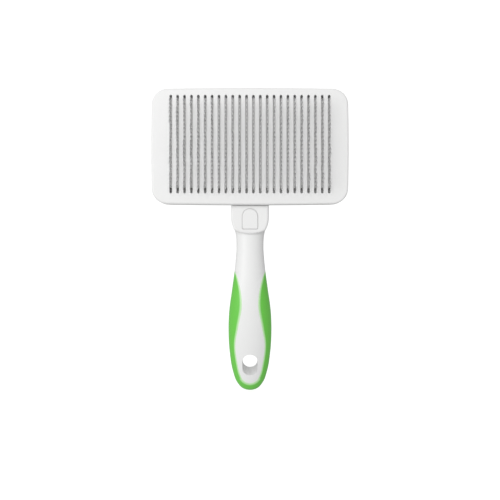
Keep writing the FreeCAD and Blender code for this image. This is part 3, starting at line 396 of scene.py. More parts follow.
def talcum_rubber():
    rubber = blank_finish("pad_white")
    dust = noise(rubber, 6 * MM, 5.0)
    pores = noise(rubber, 0.5 * MM, 3.0)
    return surface(rubber, {
        "Base Color": blend(rubber, dust, (0.86, 0.86, 0.85, 1), (0.92, 0.92, 0.91, 1)),
        "Roughness": 0.75 + 0.2 * dust,
        "Normal": relief(rubber, pores, 0.03 * MM)})


pad_low, pad_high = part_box("cushion_pad")
pad_back, pad_front = -pad_high.y, -pad_low.y
pad_steps = edge_round(PAD_ROUND, pad_back, 1)[::-1] + edge_round(PAD_ROUND, pad_front, -1)
pad_sides = (pad_low.x, pad_low.z, pad_high.x, pad_high.z)
pad_rings = [at_depth(rounded_rectangle(*pad_sides, PAD_CORNER, inset), depth) for inset, depth in pad_steps]
cushion = smooth(new_piece("cushion", skin("cushion", pad_rings), talcum_rubber()))
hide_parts("cushion_pad")
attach(cushion, "housing")

# ---------------------------------------------------------------------------------------------------------
# Wires.  Twenty-four rows of U-shaped staples of drawn steel wire, eleven to a row, pushed through the pad
# from behind.  Every tine is bent forward and down at the knee, so that the tips drag through the coat.
WIRE = 0.2 * MM
SIDES = 6
STAPLES = 11
TINE_STEP = 2.6697 * MM
FIRST_TINE = 30.3 * MM
CROWN_DEPTH = 32.85 * MM
KNEE_DEPTH = 44.2 * MM
TIP_DEPTH = 50.5 * MM
KNEE_TURN = math.radians(30)
KNEE_ROUND = 1.2 * MM
TIP_TAPER = 0.35 * MM
TIP_SHARE = 0.55
TINE_TILT = (math.radians(1.0), math.radians(2.5), math.radians(1.3))
WIRE_ROWS = 24
# Depth over which the tips' polish fades and the painted shade on the wires deepens.
POLISH_AND_SHADE_DEPTH = 4.5 * MM


def add_socket(tree, label, kind, way="INPUT"):
    tree.interface.new_socket(label, in_out=way, socket_type="NodeSocket" + kind)


def grid_tree():
    """Nodes that repeat the piece they are on in columns and rows, each with a small random tilt."""
    tree = bpy.data.node_groups.new("set_out", "GeometryNodeTree")
    add_socket(tree, "Geometry", "Geometry")
    for label in ("First place", "Column step", "Row step", "Tilt"):
        add_socket(tree, label, "Vector")
    for label in ("Columns", "Rows", "Seed"):
        add_socket(tree, label, "Int")
    add_socket(tree, "Material", "Material")
    add_socket(tree, "Geometry", "Geometry", "OUTPUT")

    def node(kind, settings=None, **sockets):
        made = tree.nodes.new(kind)
        for name, value in (settings or {}).items():
            setattr(made, name, value)
        for name, source in sockets.items():
            tree.links.new(source, made.inputs[name.replace("_", " ")])
        return made

    given = node("NodeGroupInput").outputs
    row = node("GeometryNodeMeshLine", {"mode": "OFFSET"}, Count=given["Rows"], Offset=given["Row step"])
    column = node("GeometryNodeMeshLine", {"mode": "OFFSET"}, Count=given["Columns"],
                  Offset=given["Column step"], Start_Location=given["First place"])
    places = node("GeometryNodeInstanceOnPoints", Points=column.outputs[0], Instance=row.outputs[0])
    points = node("GeometryNodeRealizeInstances", Geometry=places.outputs[0])
    other_way = node("ShaderNodeVectorMath", {"operation": "SCALE"}, Vector=given["Tilt"])
    other_way.inputs["Scale"].default_value = -1
    tilt = node("FunctionNodeRandomValue", {"data_type": "FLOAT_VECTOR"}, Seed=given["Seed"])
    tree.links.new(other_way.outputs[0], tilt.inputs[0])
    tree.links.new(given["Tilt"], tilt.inputs[1])
    copies = node("GeometryNodeInstanceOnPoints", Points=points.outputs[0], Instance=given["Geometry"])
    tree.links.new(tilt.outputs[0], copies.inputs["Rotation"])
    real = node("GeometryNodeRealizeInstances", Geometry=copies.outputs[0])
    dressed = node("GeometryNodeSetMaterial", Geometry=real.outputs[0], Material=given["Material"])
    result = tree.nodes.new("NodeGroupOutput")
    tree.links.new(dressed.outputs[0], result.inputs[0])
    return tree


set_out_tree = grid_tree()


def set_out(piece, first, columns=1, rows=1, column_step=0.0, row_step=0.0, tilt=(0, 0, 0), seed=1):
    """Repeats a piece in columns along X and rows along Z, as one plain mesh."""
    wanted = {"First place": first, "Columns": columns, "Rows": rows, "Column step": (column_step, 0, 0),
              "Row step": (0, 0, row_step), "Tilt": tilt, "Seed": seed, "Material": piece.data.materials[0]}
    grower = piece.modifiers.new("set_out", "NODES")
    grower.node_group = set_out_tree
    for item in set_out_tree.interface.items_tree:
        if item.in_out == "INPUT" and item.name in wanted:
            grower[item.identifier] = wanted[item.name]
    return settle(piece)


def drawn_steel(name, colour, roughness, along):
    """Drawn wire: bright metal with fine lines along it and a few duller spots."""
    steel = blank_finish(name)
    lines = noise(steel, 0.08 * MM, 2.0, along)
    spots = noise(steel, 2.5 * MM, 3.0)
    return surface(steel, {
        "Base Color": blend(steel, spots, colour, (0.93, 0.93, 0.94, 1)),
        "Metallic": 1.0,
        "Roughness": roughness + 0.14 * spots + 0.05 * lines,
        "Normal": relief(steel, lines, 0.004 * MM)})


def staple():
    """One staple from its upper tip to its lower tip, with its upper root at the origin."""
    lean = Vector((0, -math.cos(KNEE_TURN), -math.sin(KNEE_TURN)))
    knee = Vector((0, CROWN_DEPTH - KNEE_DEPTH, 0))
    tip = knee + lean * (TIP_DEPTH - KNEE_DEPTH) / math.cos(KNEE_TURN)
    cut = KNEE_ROUND * math.tan(KNEE_TURN / 2)
    sag = KNEE_ROUND * (1 / math.cos(KNEE_TURN / 2) - 1)
    inwards = (lean + Vector((0, 1, 0))).normalized()
    upper = [tip, tip - lean * TIP_TAPER, knee + lean * cut, knee + inwards * sag, knee + Vector((0, cut, 0)),
             Vector((0, 0, 0))]
    lower = [place - Vector((0, 0, TINE_STEP)) for place in reversed(upper)]
    path = upper + lower
    radii = [TIP_SHARE * WIRE] + [WIRE] * (len(path) - 2) + [TIP_SHARE * WIRE]
    side = Vector((1, 0, 0))
    rings = []
    for i, (place, radius) in enumerate(zip(path, radii)):
        before = (place - path[i - 1]).normalized() if i else (path[1] - place).normalized()
        after = (path[i + 1] - place).normalized() if i + 1 < len(path) else before
        along = (before + after).normalized()
        out = along.cross(side)
        reach = radius / max(along.dot(before), 0.5)
        turns = [math.tau * (k + 0.5) / SIDES for k in range(SIDES)]
        rings.append([place + side * radius * math.cos(t) + out * reach * math.sin(t)
                      for t in turns])
    return skin("wires", rings)


def ground_tips_with_painted_shade():
    """The wires' own steel: ground and frosted at the tips, with painted shade that darkens the colour down
    between the slots.
    """
    steel = blank_finish("wire_steel")
    place = steel.node("ShaderNodeTexCoord", output="Object")
    y = steel.node("ShaderNodeSeparateXYZ", sockets={"Vector": place}, output="Y")
    ground_and_lit_share = steel.node("ShaderNodeMapRange", sockets={
        "Value": y, "From Min": POLISH_AND_SHADE_DEPTH - TIP_DEPTH, "From Max": 0.4 * MM - TIP_DEPTH})
    lines = noise(steel, 0.08 * MM, 2.0, (1, 0.05, 1))
    spots = noise(steel, 2.5 * MM, 3.0)
    return surface(steel, {
        # Painted shade: the colour runs from bright at the tips to dark grey deeper down between the slots.
        "Base Color": blend(steel, ground_and_lit_share - 0.15 * spots, (0.58, 0.58, 0.59, 1), (0.99, 0.99, 0.99, 1)),
        "Metallic": 0.85 - 0.70 * ground_and_lit_share,
        "Roughness": 0.26 + 0.30 * ground_and_lit_share + 0.05 * lines,
        "Normal": relief(steel, lines, 0.004 * MM)})


wire_steel = ground_tips_with_painted_shade()
first_row, last_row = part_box("pin_row_01"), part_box(f"pin_row_{WIRE_ROWS:02d}")
row_left = (first_row[0].x + first_row[1].x) / 2
row_right = (last_row[0].x + last_row[1].x) / 2
row_step = (row_right - row_left) / (WIRE_ROWS - 1)
wires = new_piece("wires", staple(), wire_steel)
wires.data.shade_smooth()
set_out(wires, (row_left, -CROWN_DEPTH, FIRST_TINE), WIRE_ROWS, STAPLES, row_step, -2 * TINE_STEP,
        TINE_TILT, 7)
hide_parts(*[f"pin_row_{i + 1:02d}" for i in range(WIRE_ROWS)])
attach(wires, "housing")

# ---------------------------------------------------------------------------------------------------------
# Face plate.  The slotted front that slides out over the wires, with a skirt round it and a guide post
# behind each corner.  Moulded in one piece of satin white ABS, with softened slot edges.
FACE_WIDTH = 128.6 * MM
FACE_HEIGHT = 76.0 * MM
EDGE_CROWN = 0.6 * MM
CORNER = 10.5 * MM
FRONT_ROUND = 1.4 * MM
SKIRT_WALL = 1.8 * MM
PLATE_WALL = 2.2 * MM
SKIRT_DEPTH = 5.3 * MM
SKIRT_ROUND = 0.3 * MM
SLOT_WIDTH = 1.6 * MM
SLOT_TOP = 33.35 * MM
SLOT_BOTTOM = -30.65 * MM
SLOT_LIP = 0.32 * MM
POST_PLACE = (57.4 * MM, 22.0 * MM)
POST_RADIUS = 2.1 * MM
POST_PILOT = 0.95 * MM
POST_PILOT_DEPTH = 7.0 * MM
HALF_TURN = math.pi


def head_arcs():
    """The head's outline as arcs: (centre, radius, start, end, steps), from the right side round."""
    half_w, half_h = FACE_WIDTH / 2, FACE_HEIGHT / 2
    long_r = FACE_WIDTH ** 2 / (8 * EDGE_CROWN) + EDGE_CROWN / 2
    side_r = FACE_HEIGHT ** 2 / (8 * EDGE_CROWN) + EDGE_CROWN / 2
    x, z = half_w - CORNER, half_h - CORNER
    for _ in range(20):
        z = half_h - long_r + math.sqrt((long_r - CORNER) ** 2 - x * x)
        x = half_w - side_r + math.sqrt((side_r - CORNER) ** 2 - z * z)
    low = math.atan2(z, x - (half_w - side_r))
    high = math.atan2(z - (half_h - long_r), x)
    return [((half_w - side_r, 0), side_r, -low, low, 12),
            ((x, z), CORNER, low, high, 14),
            ((0, half_h - long_r), long_r, high, HALF_TURN - high, 22),
            ((-x, z), CORNER, HALF_TURN - high, HALF_TURN - low, 14),
            ((side_r - half_w, 0), side_r, HALF_TURN - low, HALF_TURN + low, 12),
            ((-x, -z), CORNER, HALF_TURN + low, HALF_TURN + high, 14),
            ((0, long_r - half_h), long_r, HALF_TURN + high, 2 * HALF_TURN - high, 22),
            ((x, -z), CORNER, -high, -low, 14)]


def head_outline(inset):
    points = []
    for centre, radius, start, end, steps in head_arcs():
        points += arc(centre, radius - inset, start, end, steps)[:-1]
    return points


def stadium(half_width, half_length, inset, steps=8, centre=(0, 0)):
    """An upright slot shape: straight sides and two half-round ends."""
    straight = half_length - half_width
    upper = arc((centre[0], centre[1] + straight), half_width - inset, 0, HALF_TURN, steps)
    lower = arc((centre[0], centre[1] - straight), half_width - inset, HALF_TURN, 2 * HALF_TURN, steps)
    return upper + lower


def cut_away(piece, *tools, keep="DIFFERENCE"):
    """Takes the tools out of a piece, or joins them to it, and throws the tools away."""
    for tool in tools:
        cutter = piece.modifiers.new("cut", "BOOLEAN")
        cutter.operation = keep
        cutter.solver = "EXACT"
        cutter.object = tool
        settle(piece)
        bpy.data.objects.remove(tool)
    return piece


plate_front = -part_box("face_plate")[0].y
plate_back = plate_front - PLATE_WALL
skirt_back = plate_back - SKIRT_DEPTH
face_white = moulded_plastic("face_white", roughness=0.36)
plate_steps = [(SKIRT_WALL, plate_back), (SKIRT_WALL, skirt_back + SKIRT_ROUND),
               (SKIRT_WALL - SKIRT_ROUND, skirt_back)]
plate_steps += edge_round(SKIRT_ROUND, skirt_back, 1, 3)[::-1]
plate_steps += edge_round(FRONT_ROUND, plate_front, -1, 8)
plate_rings = [at_depth(head_outline(inset), depth) for inset, depth in plate_steps]
face_plate = new_piece("slotted_face", skin("slotted_face", plate_rings), face_white)

lip_turns = [math.radians(angle) for angle in (45, 15, -20)]
lip_base = plate_front - SLOT_LIP
lip = [(-SLOT_LIP * (1 - math.cos(t)), lip_base + SLOT_LIP * math.sin(t)) for t in lip_turns]
slot_steps = [(-SLOT_LIP * 0.75, plate_front + 0.4 * MM)] + lip + [
    (0, plate_back + 0.2 * MM), (-0.25 * MM, plate_back - 0.05 * MM), (-0.25 * MM, plate_back - 0.6 * MM)]
slot_half = (SLOT_TOP - SLOT_BOTTOM) / 2
slot_rings = [at_depth(stadium(SLOT_WIDTH / 2, slot_half, inset, 8), depth) for inset, depth in slot_steps]
slots = new_piece("slots", skin("slots", slot_rings), face_white)
set_out(slots, (row_left, 0, (SLOT_TOP + SLOT_BOTTOM) / 2), WIRE_ROWS, 1, row_step)
cut_away(face_plate, slots)

post_back = -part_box("face_plate")[1].y
post_steps = [(POST_PILOT, post_back + POST_PILOT_DEPTH), (POST_PILOT, post_back + 0.2 * MM),
              (POST_PILOT + 0.2 * MM, post_back), (POST_RADIUS - 0.3 * MM, post_back),
              (POST_RADIUS, post_back + 0.3 * MM), (POST_RADIUS, plate_back + 0.3 * MM)]
post_rings = [at_depth(arc((0, 0), radius, 0, math.tau, 24)[:-1], depth) for radius, depth in post_steps]
posts = new_piece("posts", skin("posts", post_rings), face_white)
set_out(posts, (-POST_PLACE[0], 0, -POST_PLACE[1]), 2, 2, 2 * POST_PLACE[0], 2 * POST_PLACE[1])
cut_away(face_plate, posts, keep="UNION")
smooth(face_plate)
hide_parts("face_plate")
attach(face_plate, "ejector")

# ---------------------------------------------------------------------------------------------------------
# Return springs and pusher yoke.  Each post passes through a coil spring that pushes the yoke back, and the
# yoke ties the four posts to the button.  Spring wire, and plain acetal with a dry, waxy look.
spring_steel = drawn_steel("spring_steel", (0.45, 0.45, 0.46, 1), 0.32, (1, 1, 0.1))
for number in range(1, 5):
    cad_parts[f"return_spring_{number}"].material_slots[0].material = spring_steel

acetal = moulded_plastic("yoke_acetal", (0.66, 0.66, 0.63, 1), (0.60, 0.59, 0.56, 1), 0.5)
yoke = moulded_copy("pusher_yoke", "yoke", acetal)
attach(yoke, "ejector")

# ---------------------------------------------------------------------------------------------------------
# Push button.  A green cup in the back of the head, dished for the thumb, with two bosses inside for its
# screws.  Satin ABS, with a few duller rubbed patches.
BUTTON_HALF = (22.0 * MM, 13.0 * MM)
BUTTON_ROUND = 1.8 * MM
BUTTON_WALL = 2.2 * MM
BUTTON_DISH = 0.9 * MM
BUTTON_BOSS = 12.0 * MM
GREEN = (0.115, 0.60, 0.035, 1)
LIGHT_GREEN = (0.15, 0.64, 0.055, 1)


def lying_stadium(inset, steps=20):
    return [(z, x) for x, z in stadium(BUTTON_HALF[1], BUTTON_HALF[0], inset, steps)]


button_open = -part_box("push_button")[0].y
dish_steps = [(BUTTON_ROUND + (BUTTON_HALF[1] - 0.5 * MM - BUTTON_ROUND) * i / 10,
               BUTTON_DISH * (1 - math.cos(math.pi * i / 10)) / 2) for i in range(1, 11)]
button_steps = [(inset, depth + BUTTON_WALL) for inset, depth in dish_steps[::-1] if inset > BUTTON_WALL]
button_steps += [(BUTTON_WALL, BUTTON_WALL + 0.4 * MM), (BUTTON_WALL, button_open - 0.2 * MM),
                 (BUTTON_WALL - 0.2 * MM, button_open), (0.2 * MM, button_open), (0, button_open - 0.2 * MM)]
button_steps += edge_round(BUTTON_ROUND, 0, 1, 8) + dish_steps
button_rings = [at_depth(lying_stadium(inset), depth) for inset, depth in button_steps]
green_abs = moulded_plastic("button_green", GREEN, LIGHT_GREEN, 0.33)
button = new_piece("thumb_button", skin("thumb_button", button_rings), green_abs)
boss_steps = [(3.0 * MM, BUTTON_WALL), (3.0 * MM, button_open - 0.2 * MM), (2.8 * MM, button_open),
              (1.0 * MM, button_open), (0.9 * MM, button_open - 0.2 * MM), (0.9 * MM, button_open - 7 * MM)]
boss_rings = [at_depth(arc((0, 0), radius, 0, math.tau, 24)[:-1], depth) for radius, depth in boss_steps]
bosses = new_piece("bosses", skin("bosses", boss_rings), green_abs)
set_out(bosses, (-BUTTON_BOSS, 0, 0), 2, 1, 2 * BUTTON_BOSS)
cut_away(button, bosses, keep="UNION")
smooth(button)
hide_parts("push_button")
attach(button, "ejector")

# ---------------------------------------------------------------------------------------------------------
# Screws.  Zinc-plated self-tapping screws with cross recesses: four close the head from behind, and the rest
# are hidden on the posts, in the button and through the handle's tongue.
CASE_SCREW = (36.0 * MM, 30.5 * MM)
SCREW_HEAD = 2.3 * MM
SCREW_HEAD_HEIGHT = 1.7 * MM
SCREW_SHANK = 1.25 * MM
THREAD_STEP = 0.9 * MM
RECESS = (1.35 * MM, 0.28 * MM, 1.0 * MM)

zinc = drawn_steel("screw_zinc", (0.50, 0.50, 0.49, 1), 0.3, (1, 1, 1))
for node in ("post_screws", "button_screws", "collar_screws"):
    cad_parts[node].material_slots[0].material = zinc

screw_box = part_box("case_screws")
screw_front, screw_back = -screw_box[0].y, -screw_box[1].y
screw_seat = screw_back + SCREW_HEAD_HEIGHT
thread_turns = int((screw_front - screw_seat - 1.2 * MM) / THREAD_STEP)
screw_profile = [(0.25 * SCREW_HEAD, screw_back), (0.6 * SCREW_HEAD, screw_back + 0.12 * MM),
                 (0.86 * SCREW_HEAD, screw_back + 0.42 * MM), (0.98 * SCREW_HEAD, screw_back + 0.95 * MM),
                 (SCREW_HEAD, screw_seat - 0.15 * MM), (SCREW_HEAD - 0.15 * MM, screw_seat)]
for turn in range(thread_turns):
    start = screw_seat + turn * THREAD_STEP
    screw_profile += [(0.78 * SCREW_SHANK, start + 0.1 * MM), (0.78 * SCREW_SHANK, start + 0.4 * THREAD_STEP),
                      (SCREW_SHANK, start + 0.7 * THREAD_STEP)]
screw_profile += [(0.7 * SCREW_SHANK, screw_front - 0.9 * MM), (0.2 * SCREW_SHANK, screw_front)]
screw_rings = [at_depth(arc((0, 0), r, 0, math.tau, 28)[:-1], depth) for r, depth in screw_profile]
screws = new_piece("head_screws", skin("head_screws", screw_rings), zinc)


def cross(half_length, half_width):
    """A plus sign's outline."""
    corner = [(half_length, half_width), (half_width, half_width), (half_width, half_length)]
    outline = []
    for turn in range(4):
        cos = round(math.cos(turn * math.pi / 2))
        sin = round(math.sin(turn * math.pi / 2))
        outline += [(x * cos - z * sin, x * sin + z * cos) for x, z in corner]
    return outline


recess_rings = [at_depth(cross(RECESS[0] * share, RECESS[1] * share ** 0.5), depth) for share, depth in (
    (1.05, screw_back - 0.2 * MM), (1.0, screw_back), (0.45, screw_back + RECESS[2]))]
cut_away(screws, new_piece("recess", skin("recess", recess_rings), zinc))
smooth(screws, math.radians(40))
set_out(screws, (-CASE_SCREW[0], 0, -CASE_SCREW[1]), 2, 2, 2 * CASE_SCREW[0], 2 * CASE_SCREW[1])
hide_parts("case_screws")
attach(screws, "housing")

# ---------------------------------------------------------------------------------------------------------
# Collar cap.  The small arch-shaped cover over the two collar screws, pressed into its recess.  Moulded in
# the same white ABS, with a softened front edge that leaves a fine groove all round.
CAP_ROUND = 0.4 * MM
CAP_CORNER = 0.9 * MM


def arch(inset):
    """The cap's outline: a half-round top, straight sides and two small lower corners."""
    half = (cap_high.x - cap_low.x) / 2
    spring = cap_high.z - half
    quarter = math.pi / 2
    top = arc((0, spring), half - inset, 0, 2 * quarter, 24)
    base, radius = cap_low.z + CAP_CORNER, CAP_CORNER - inset
    left = arc((-half + CAP_CORNER, base), radius, 2 * quarter, 3 * quarter, 6)
    right = arc((half - CAP_CORNER, base), radius, 3 * quarter, 4 * quarter, 6)
    return top + left + right


cap_low, cap_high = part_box("collar_cap")
cap_steps = [(0.15 * MM, -cap_high.y), (0, -cap_high.y + 0.15 * MM)] + edge_round(CAP_ROUND, -cap_low.y, -1)
cap = new_piece("arch_cap", skin("arch_cap", [at_depth(arch(i), d) for i, d in cap_steps]),
                moulded_plastic("cap_white"))
smooth(cap)
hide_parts("collar_cap")
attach(cap, "housing")

# ---------------------------------------------------------------------------------------------------------
# Handle core.  The stiff white part: tongue, neck, a bare spine down the front and the back, and the tail
# with its hanging slot.  Glossy polypropylene, sunk along both flanks where the grip is moulded over it.
HEAD_BOTTOM = -FACE_HEIGHT / 2
HANDLE_DEPTH = 24.6 * MM
SWEEP = 340 * MM
SWEEP_START = 22 * MM
SECTIONS = [  # distance below the head, width, thickness
    (11, 23.4, 14.8), (16.6, 20.1, 14.4), (20.5, 18.6, 14.2), (27, 18, 14.2), (39, 19.6, 15.4),
    (55, 23.8, 17.8), (71, 28.1, 19.6), (84, 29.1, 19.4), (99, 27.6, 17.2), (112, 23.6, 14.4),
    (120, 18.2, 11.6), (124.2, 11.6, 8.2), (126.1, 0, 0)]
SPINE = [  # half-width of the bare spine, distance below the head
    (19.55, 34.6), (10.8, 42.6), (6.5, 55.05), (5.4, 65.5), (7.9, 81), (9.8, 92.5), (8.43, 106.35),
    (6.7, 114.0), (4.7, 118.1), (0, 120.2)]
GRIP_WALL = 2.2 * MM
PATCH_COLUMNS = 14
FLANK_COLUMNS = 26
HANG_HALF = (5.1 * MM, 7.7 * MM)
HANG_PLACE = Vector((0, -14.26 * MM, -143.2 * MM))
HANG_TILT = math.radians(17)
HANG_LIP = 0.3 * MM
HANG_HALF_DEPTH = 7.0 * MM
HANG_REACH = 4 * MM
TONGUE_HALF = (7.5 * MM, 4.0 * MM)
TONGUE_ENDS = (-60 * MM, -40 * MM)
SCREW_PLACES = (-44.6 * MM, -50.2 * MM)


def flowing(knots, samples=60):
    """Points along a smooth curve through the knots, spaced by their distance apart."""
    knots = [Vector(k) for k in knots]
    places = [0.0]
    for here, there in zip(knots, knots[1:]):
        places.append(places[-1] + (there - here).length)
    slopes = []
    for i, knot in enumerate(knots):
        before, after = max(i - 1, 0), min(i + 1, len(knots) - 1)
        if 0 < i < len(knots) - 1:
            back, fore = places[i] - places[i - 1], places[i + 1] - places[i]
            first, second = (knot - knots[before]) / back, (knots[after] - knot) / fore
            slopes.append((first * fore + second * back) / (back + fore))
        else:
            slopes.append((knots[after] - knots[before]) / (places[after] - places[before]))
    path = []
    for i in range(len(knots) - 1):
        span = places[i + 1] - places[i]
        for k in range(samples):
            t = k / samples
            path.append(knots[i] * (1 + 2 * t) * (1 - t) ** 2 + slopes[i] * span * t * (1 - t) ** 2
                        + knots[i + 1] * t * t * (3 - 2 * t) + slopes[i + 1] * span * t * t * (t - 1))
    return path + [knots[-1]]


def looked_up(path, drop, column):
    """The column's value where a path, ordered by its first column, reaches the drop."""
    low, high = 0, len(path) - 1
    while high - low > 1:
        middle_row = (low + high) // 2
        if path[middle_row][0] <= drop:
            low = middle_row
        else:
            high = middle_row
    span = path[high][0] - path[low][0]
    share = min(max((drop - path[low][0]) / span, 0), 1) if span > 0 else 0
    return path[low][column] * (1 - share) + path[high][column] * share


def closed_path(knots):
    """A smooth path through knots of a drop and sizes, down to its lowest place, where it closes square."""
    mirror = [(drop, *[-size for size in sizes]) for drop, *sizes in knots[-3:-1][::-1]]
    path = [row for row in flowing(knots + mirror) if row[1] >= 0]
    return path[:max(range(len(path)), key=lambda i: path[i][0]) + 1]


section_path = closed_path([(drop * MM, width * MM / 2, thick * MM / 2) for drop, width, thick in SECTIONS])
spine_path = closed_path([(drop * MM, half * MM, 0) for half, drop in SPINE])
tip_drop = section_path[-1][0]
spine_end = spine_path[-1][0]


def half_sizes(drop):
    return looked_up(section_path, drop, 1), looked_up(section_path, drop, 2)


def bare_half(drop):
    """Half-width of the bare spine; none past its round lower end."""
    return max(looked_up(spine_path, drop, 1), 0) if drop < spine_end else 0


def seam_turn(drop):
    """How far round from the flank the seam lies, as an angle; nothing where the handle is all bare."""
    width = half_sizes(drop)[0]
    bare = bare_half(drop)
    return math.acos(min(bare / width, 1)) if width > 0 else math.pi / 2


def handle_point(drop, turn, depth=0.0, centre=False):
    """A place on the handle's skin, or that deep under it, or on its centre line; turn 0 is the right."""
    width, thick = half_sizes(drop)
    bend = SWEEP - math.sqrt(SWEEP ** 2 - max(drop - SWEEP_START, 0) ** 2)
    out = Vector((thick * math.cos(turn), width * math.sin(turn)))
    out = out.normalized() if out.length > 0 else Vector((1, 0))
    x = 0 if centre else width * math.cos(turn) - depth * out.x
    y = 0 if centre else thick * math.sin(turn) - depth * out.y
    return Vector((x, bend - HANDLE_DEPTH + y, HEAD_BOTTOM - drop))


inner_end = tip_drop - GRIP_WALL
grip_start = SECTIONS[0][0] * MM
while seam_turn(grip_start) == 0:
    grip_start += 0.02 * MM


def grip_wall(drop):
    """Thickness of the grip: nothing at its upper point, then its full wall."""
    return GRIP_WALL * min(max((drop - grip_start) / (3 * MM), 0), 1)


def under_grip(drop, turn):
    """A place on the core's sunk flank, which ends flat inside the tip of the grip."""
    if drop > inner_end:
        return handle_point(inner_end, turn, centre=True)
    return handle_point(drop, turn, grip_wall(drop))


def drops(start, end, crowded, rows):
    """Drops from start to end, closer together near the spine's lower end and near the tip."""
    def spread(a, b, count):
        return [a + (b - a) * math.sin(math.pi / 2 * i / count) for i in range(count)]

    return spread(start, crowded, rows) + spread(crowded, end, rows // 3) + [end]


bare_rows = [SECTIONS[0][0] * MM + (grip_start - SECTIONS[0][0] * MM) * i / 26 for i in range(26)]
shared_rows = drops(grip_start, tip_drop, spine_end, 84)
core_rings = []
for drop in bare_rows + shared_rows:
    seam = seam_turn(drop)
    gap = math.pi - 2 * seam
    ring = []
    for flank in (0, math.pi):
        side = [flank - seam + 2 * seam * i / FLANK_COLUMNS for i in range(FLANK_COLUMNS + 1)]
        ring += [under_grip(drop, turn) for turn in side]
        patch = [flank + seam + gap * i / PATCH_COLUMNS for i in range(PATCH_COLUMNS + 1)]
        ring += [handle_point(drop, turn) if drop < spine_end else under_grip(drop, turn) for turn in patch]
    core_rings.append(ring)


def glossy_core():
    """Smooth polypropylene: glossy, faintly cloudy where it flowed, with fine hairline scratches."""
    gloss = blank_finish("core_gloss")
    flow = noise(gloss, 35 * MM)
    hairs = noise(gloss, 0.6 * MM, 3.0, (1, 1, 0.06))
    orange_peel = noise(gloss, 2.2 * MM, 1.0)
    return surface(gloss, {
        "Base Color": blend(gloss, flow * 0.8, (0.895, 0.90, 0.895, 1), (0.87, 0.87, 0.865, 1)),
        "Roughness": 0.24 + 0.10 * hairs + 0.06 * flow,
        "IOR": 1.5,
        "Normal": relief(gloss, orange_peel + hairs * 0.04, 0.008 * MM)})


core = new_piece("handle_spine", skin("handle_spine", core_rings), glossy_core())
tongue_sizes = [(0.5 * MM, TONGUE_ENDS[0]), (0, TONGUE_ENDS[0] + 0.5 * MM), (0, TONGUE_ENDS[1] - 0.8 * MM),
                (0.8 * MM, TONGUE_ENDS[1])]
tongue_sides = (-TONGUE_HALF[0], -TONGUE_HALF[1], TONGUE_HALF[0], TONGUE_HALF[1])
tongue_rings = [[Vector((x, y - HANDLE_DEPTH, z))
                 for x, y in rounded_rectangle(*tongue_sides, 1.0 * MM, inset)]
                for inset, z in tongue_sizes]
tongue = new_piece("tongue", skin("tongue", tongue_rings), core.data.materials[0])
cut_away(core, tongue, keep="UNION")

hang_turns = [math.radians(angle) for angle in (0, 25, 50, 72)]
hang_base = HANG_HALF_DEPTH - HANG_LIP
front_lip = [(-HANG_LIP * (1 - math.cos(t)), hang_base + HANG_LIP * math.sin(t)) for t in hang_turns]
hang_mouth = (-2.2 * HANG_LIP, HANG_HALF_DEPTH + HANG_REACH)
hang_steps = [(inset, -depth) for inset, depth in [hang_mouth] + front_lip[::-1]]
hang_steps += front_lip + [hang_mouth]
tilt = Matrix.Translation(HANG_PLACE) @ Matrix.Rotation(HANG_TILT, 4, "X")
hang_rings = [[tilt @ Vector((x, -depth, z)) for x, z in stadium(*HANG_HALF, inset, 16)]
              for inset, depth in hang_steps]
slot_tool = new_piece("slot_tool", skin("slot_tool", hang_rings), core.data.materials[0])
hole_rings = [at_depth(arc((0, 0), 1.25 * MM, 0, math.tau, 20)[:-1], depth) for depth in (19 * MM, 30 * MM)]
hole_tool = new_piece("hole_tool", skin("hole_tool", hole_rings), core.data.materials[0])
set_out(hole_tool, (0, 0, SCREW_PLACES[0]), 1, 2, 0, SCREW_PLACES[1] - SCREW_PLACES[0])
cut_away(core, slot_tool, hole_tool)
smooth(core, math.radians(38))
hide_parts("handle_core")
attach(core, "housing")

# ---------------------------------------------------------------------------------------------------------
# Grip.  Soft green thermoplastic rubber moulded over both flanks, meeting in a cup under the tail.  It ends
# flush with the bare spine in a fine rounded seam, and has a matt, very fine pebbled skin.
SEAM_ROUND = 0.35 * MM
SEAM_STEPS = [step * MM for step in (0, 0.05, 0.12, 0.2, 0.28, 0.36, 0.6, 0.95)]
SEAM_REACH = 3 * MM
PEBBLE = 0.45 * MM
PORE = 0.22 * MM
SEAM_HIGHLIGHT_REACH = 1.7 * MM
SPINE_ROUND = 6.3 * MM
# Pale green of the painted highlight along the seam.
SEAM_HIGHLIGHT_GREEN = (0.70, 0.97, 0.60, 1)


def pebbled_rubber():
    """Matt green rubber, pebbled, with a painted highlight that makes it paler along the seam."""
    rubber = blank_finish("grip_green")
    cloud = noise(rubber, 22 * MM, 3.0)
    place = rubber.node("ShaderNodeTexCoord", output="Object")
    pebble = rubber.node(
        "ShaderNodeTexVoronoi", {"feature": "SMOOTH_F1"}, {"Vector": place, "Scale": 1 / PEBBLE})
    pores = noise(rubber, PORE, 3.0)
    seam_highlight = rubber.node("ShaderNodeAttribute", {"attribute_name": "seam_highlight"}, output="Fac")
    body = blend(rubber, cloud * 0.7 + pores * 0.2, GREEN, LIGHT_GREEN)
    return surface(rubber, {
        # Painted highlight: the colour goes pale along the seam.
        "Base Color": blend(rubber, seam_highlight * (0.85 + 0.15 * pores), body, SEAM_HIGHLIGHT_GREEN),
        "Roughness": 0.32 + 0.10 * pores + 0.06 * cloud,
        "Specular IOR Level": 0.9,
        "Sheen Weight": 0.15,
        "Sheen Roughness": 0.4,
        "Normal": relief(rubber, pebble + pores * 0.5, 0.012 * MM)})


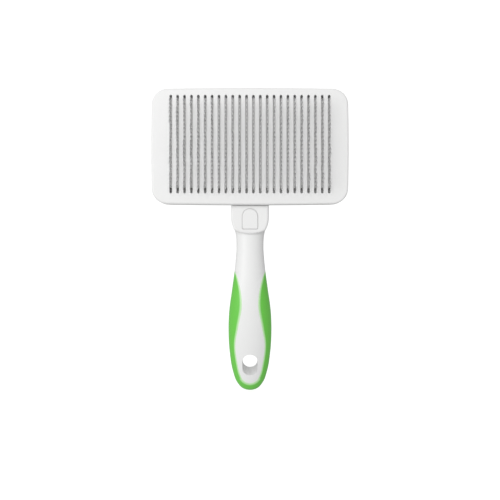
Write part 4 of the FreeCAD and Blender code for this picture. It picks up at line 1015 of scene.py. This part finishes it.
def flank_turns(seam, width):
    """Turns across one flank, from seam to seam, closest together at the seams."""
    pace = min(1 / width, seam / SEAM_REACH)
    edge = [seam - step * pace for step in SEAM_STEPS]
    inner = edge[-1]
    middle_turns = [-inner + 2 * inner * i / FLANK_COLUMNS for i in range(1, FLANK_COLUMNS)]
    return [-turn for turn in edge] + middle_turns + edge[::-1]


def grip_shell(name):
    """Both flanks of the grip as a shell of even wall, joined to each other past the spine's end."""
    shape = bmesh.new()
    seam_highlight = shape.verts.layers.float.new("seam_highlight")
    last = len(flank_turns(1, 1)) - 1
    for flank in (0, math.pi):
        outer, inner = [], []
        for drop in shared_rows:
            seam = seam_turn(drop)
            width = max(half_sizes(drop)[0], 0.01 * MM)
            wall = grip_wall(drop)
            bare = drop < spine_end
            rounding = SEAM_ROUND * min(seam * width / SEAM_REACH, 1, wall / SEAM_ROUND / 2) if bare else 0
            turns = flank_turns(seam, width)
            outer.append([])
            inner.append([])
            for turn in turns:
                edge = (seam - abs(turn)) * width
                fall = max(rounding - edge, 0)
                sunk = rounding - math.sqrt(max(rounding ** 2 - fall ** 2, 0))
                corner = shape.verts.new(handle_point(drop, flank + turn, sunk))
                # Painted highlight mask: full at the seam, fading out a short way onto the grip.
                below = math.hypot(corner.co.x, max(drop - spine_end + SPINE_ROUND, 0)) - SPINE_ROUND
                past = drop > spine_end - 0.5 * SPINE_ROUND
                away = min(edge if bare else SEAM_HIGHLIGHT_REACH, max(below, 0) if past else SEAM_HIGHLIGHT_REACH)
                corner[seam_highlight] = max(1 - away / SEAM_HIGHLIGHT_REACH, 0) ** 0.5
                outer[-1].append(corner)
                inner[-1].append(shape.verts.new(under_grip(drop, flank + turn)))
        for layer in (outer, inner):
            for near, far in zip(layer, layer[1:]):
                for i in range(last):
                    shape.faces.new((near[i], near[i + 1], far[i + 1], far[i]))
        for k, drop in enumerate(shared_rows[:-1]):
            if drop < spine_end:
                for i in (0, last):
                    shape.faces.new((outer[k][i], outer[k + 1][i], inner[k + 1][i], inner[k][i]))
    mesh = bpy.data.meshes.new(name)
    shape.to_mesh(mesh)
    shape.free()
    return mesh


grip = smooth(new_piece("soft_grip", grip_shell("soft_grip"), pebbled_rubber()), math.radians(50))
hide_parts("grip_overmould")
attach(grip, "housing")
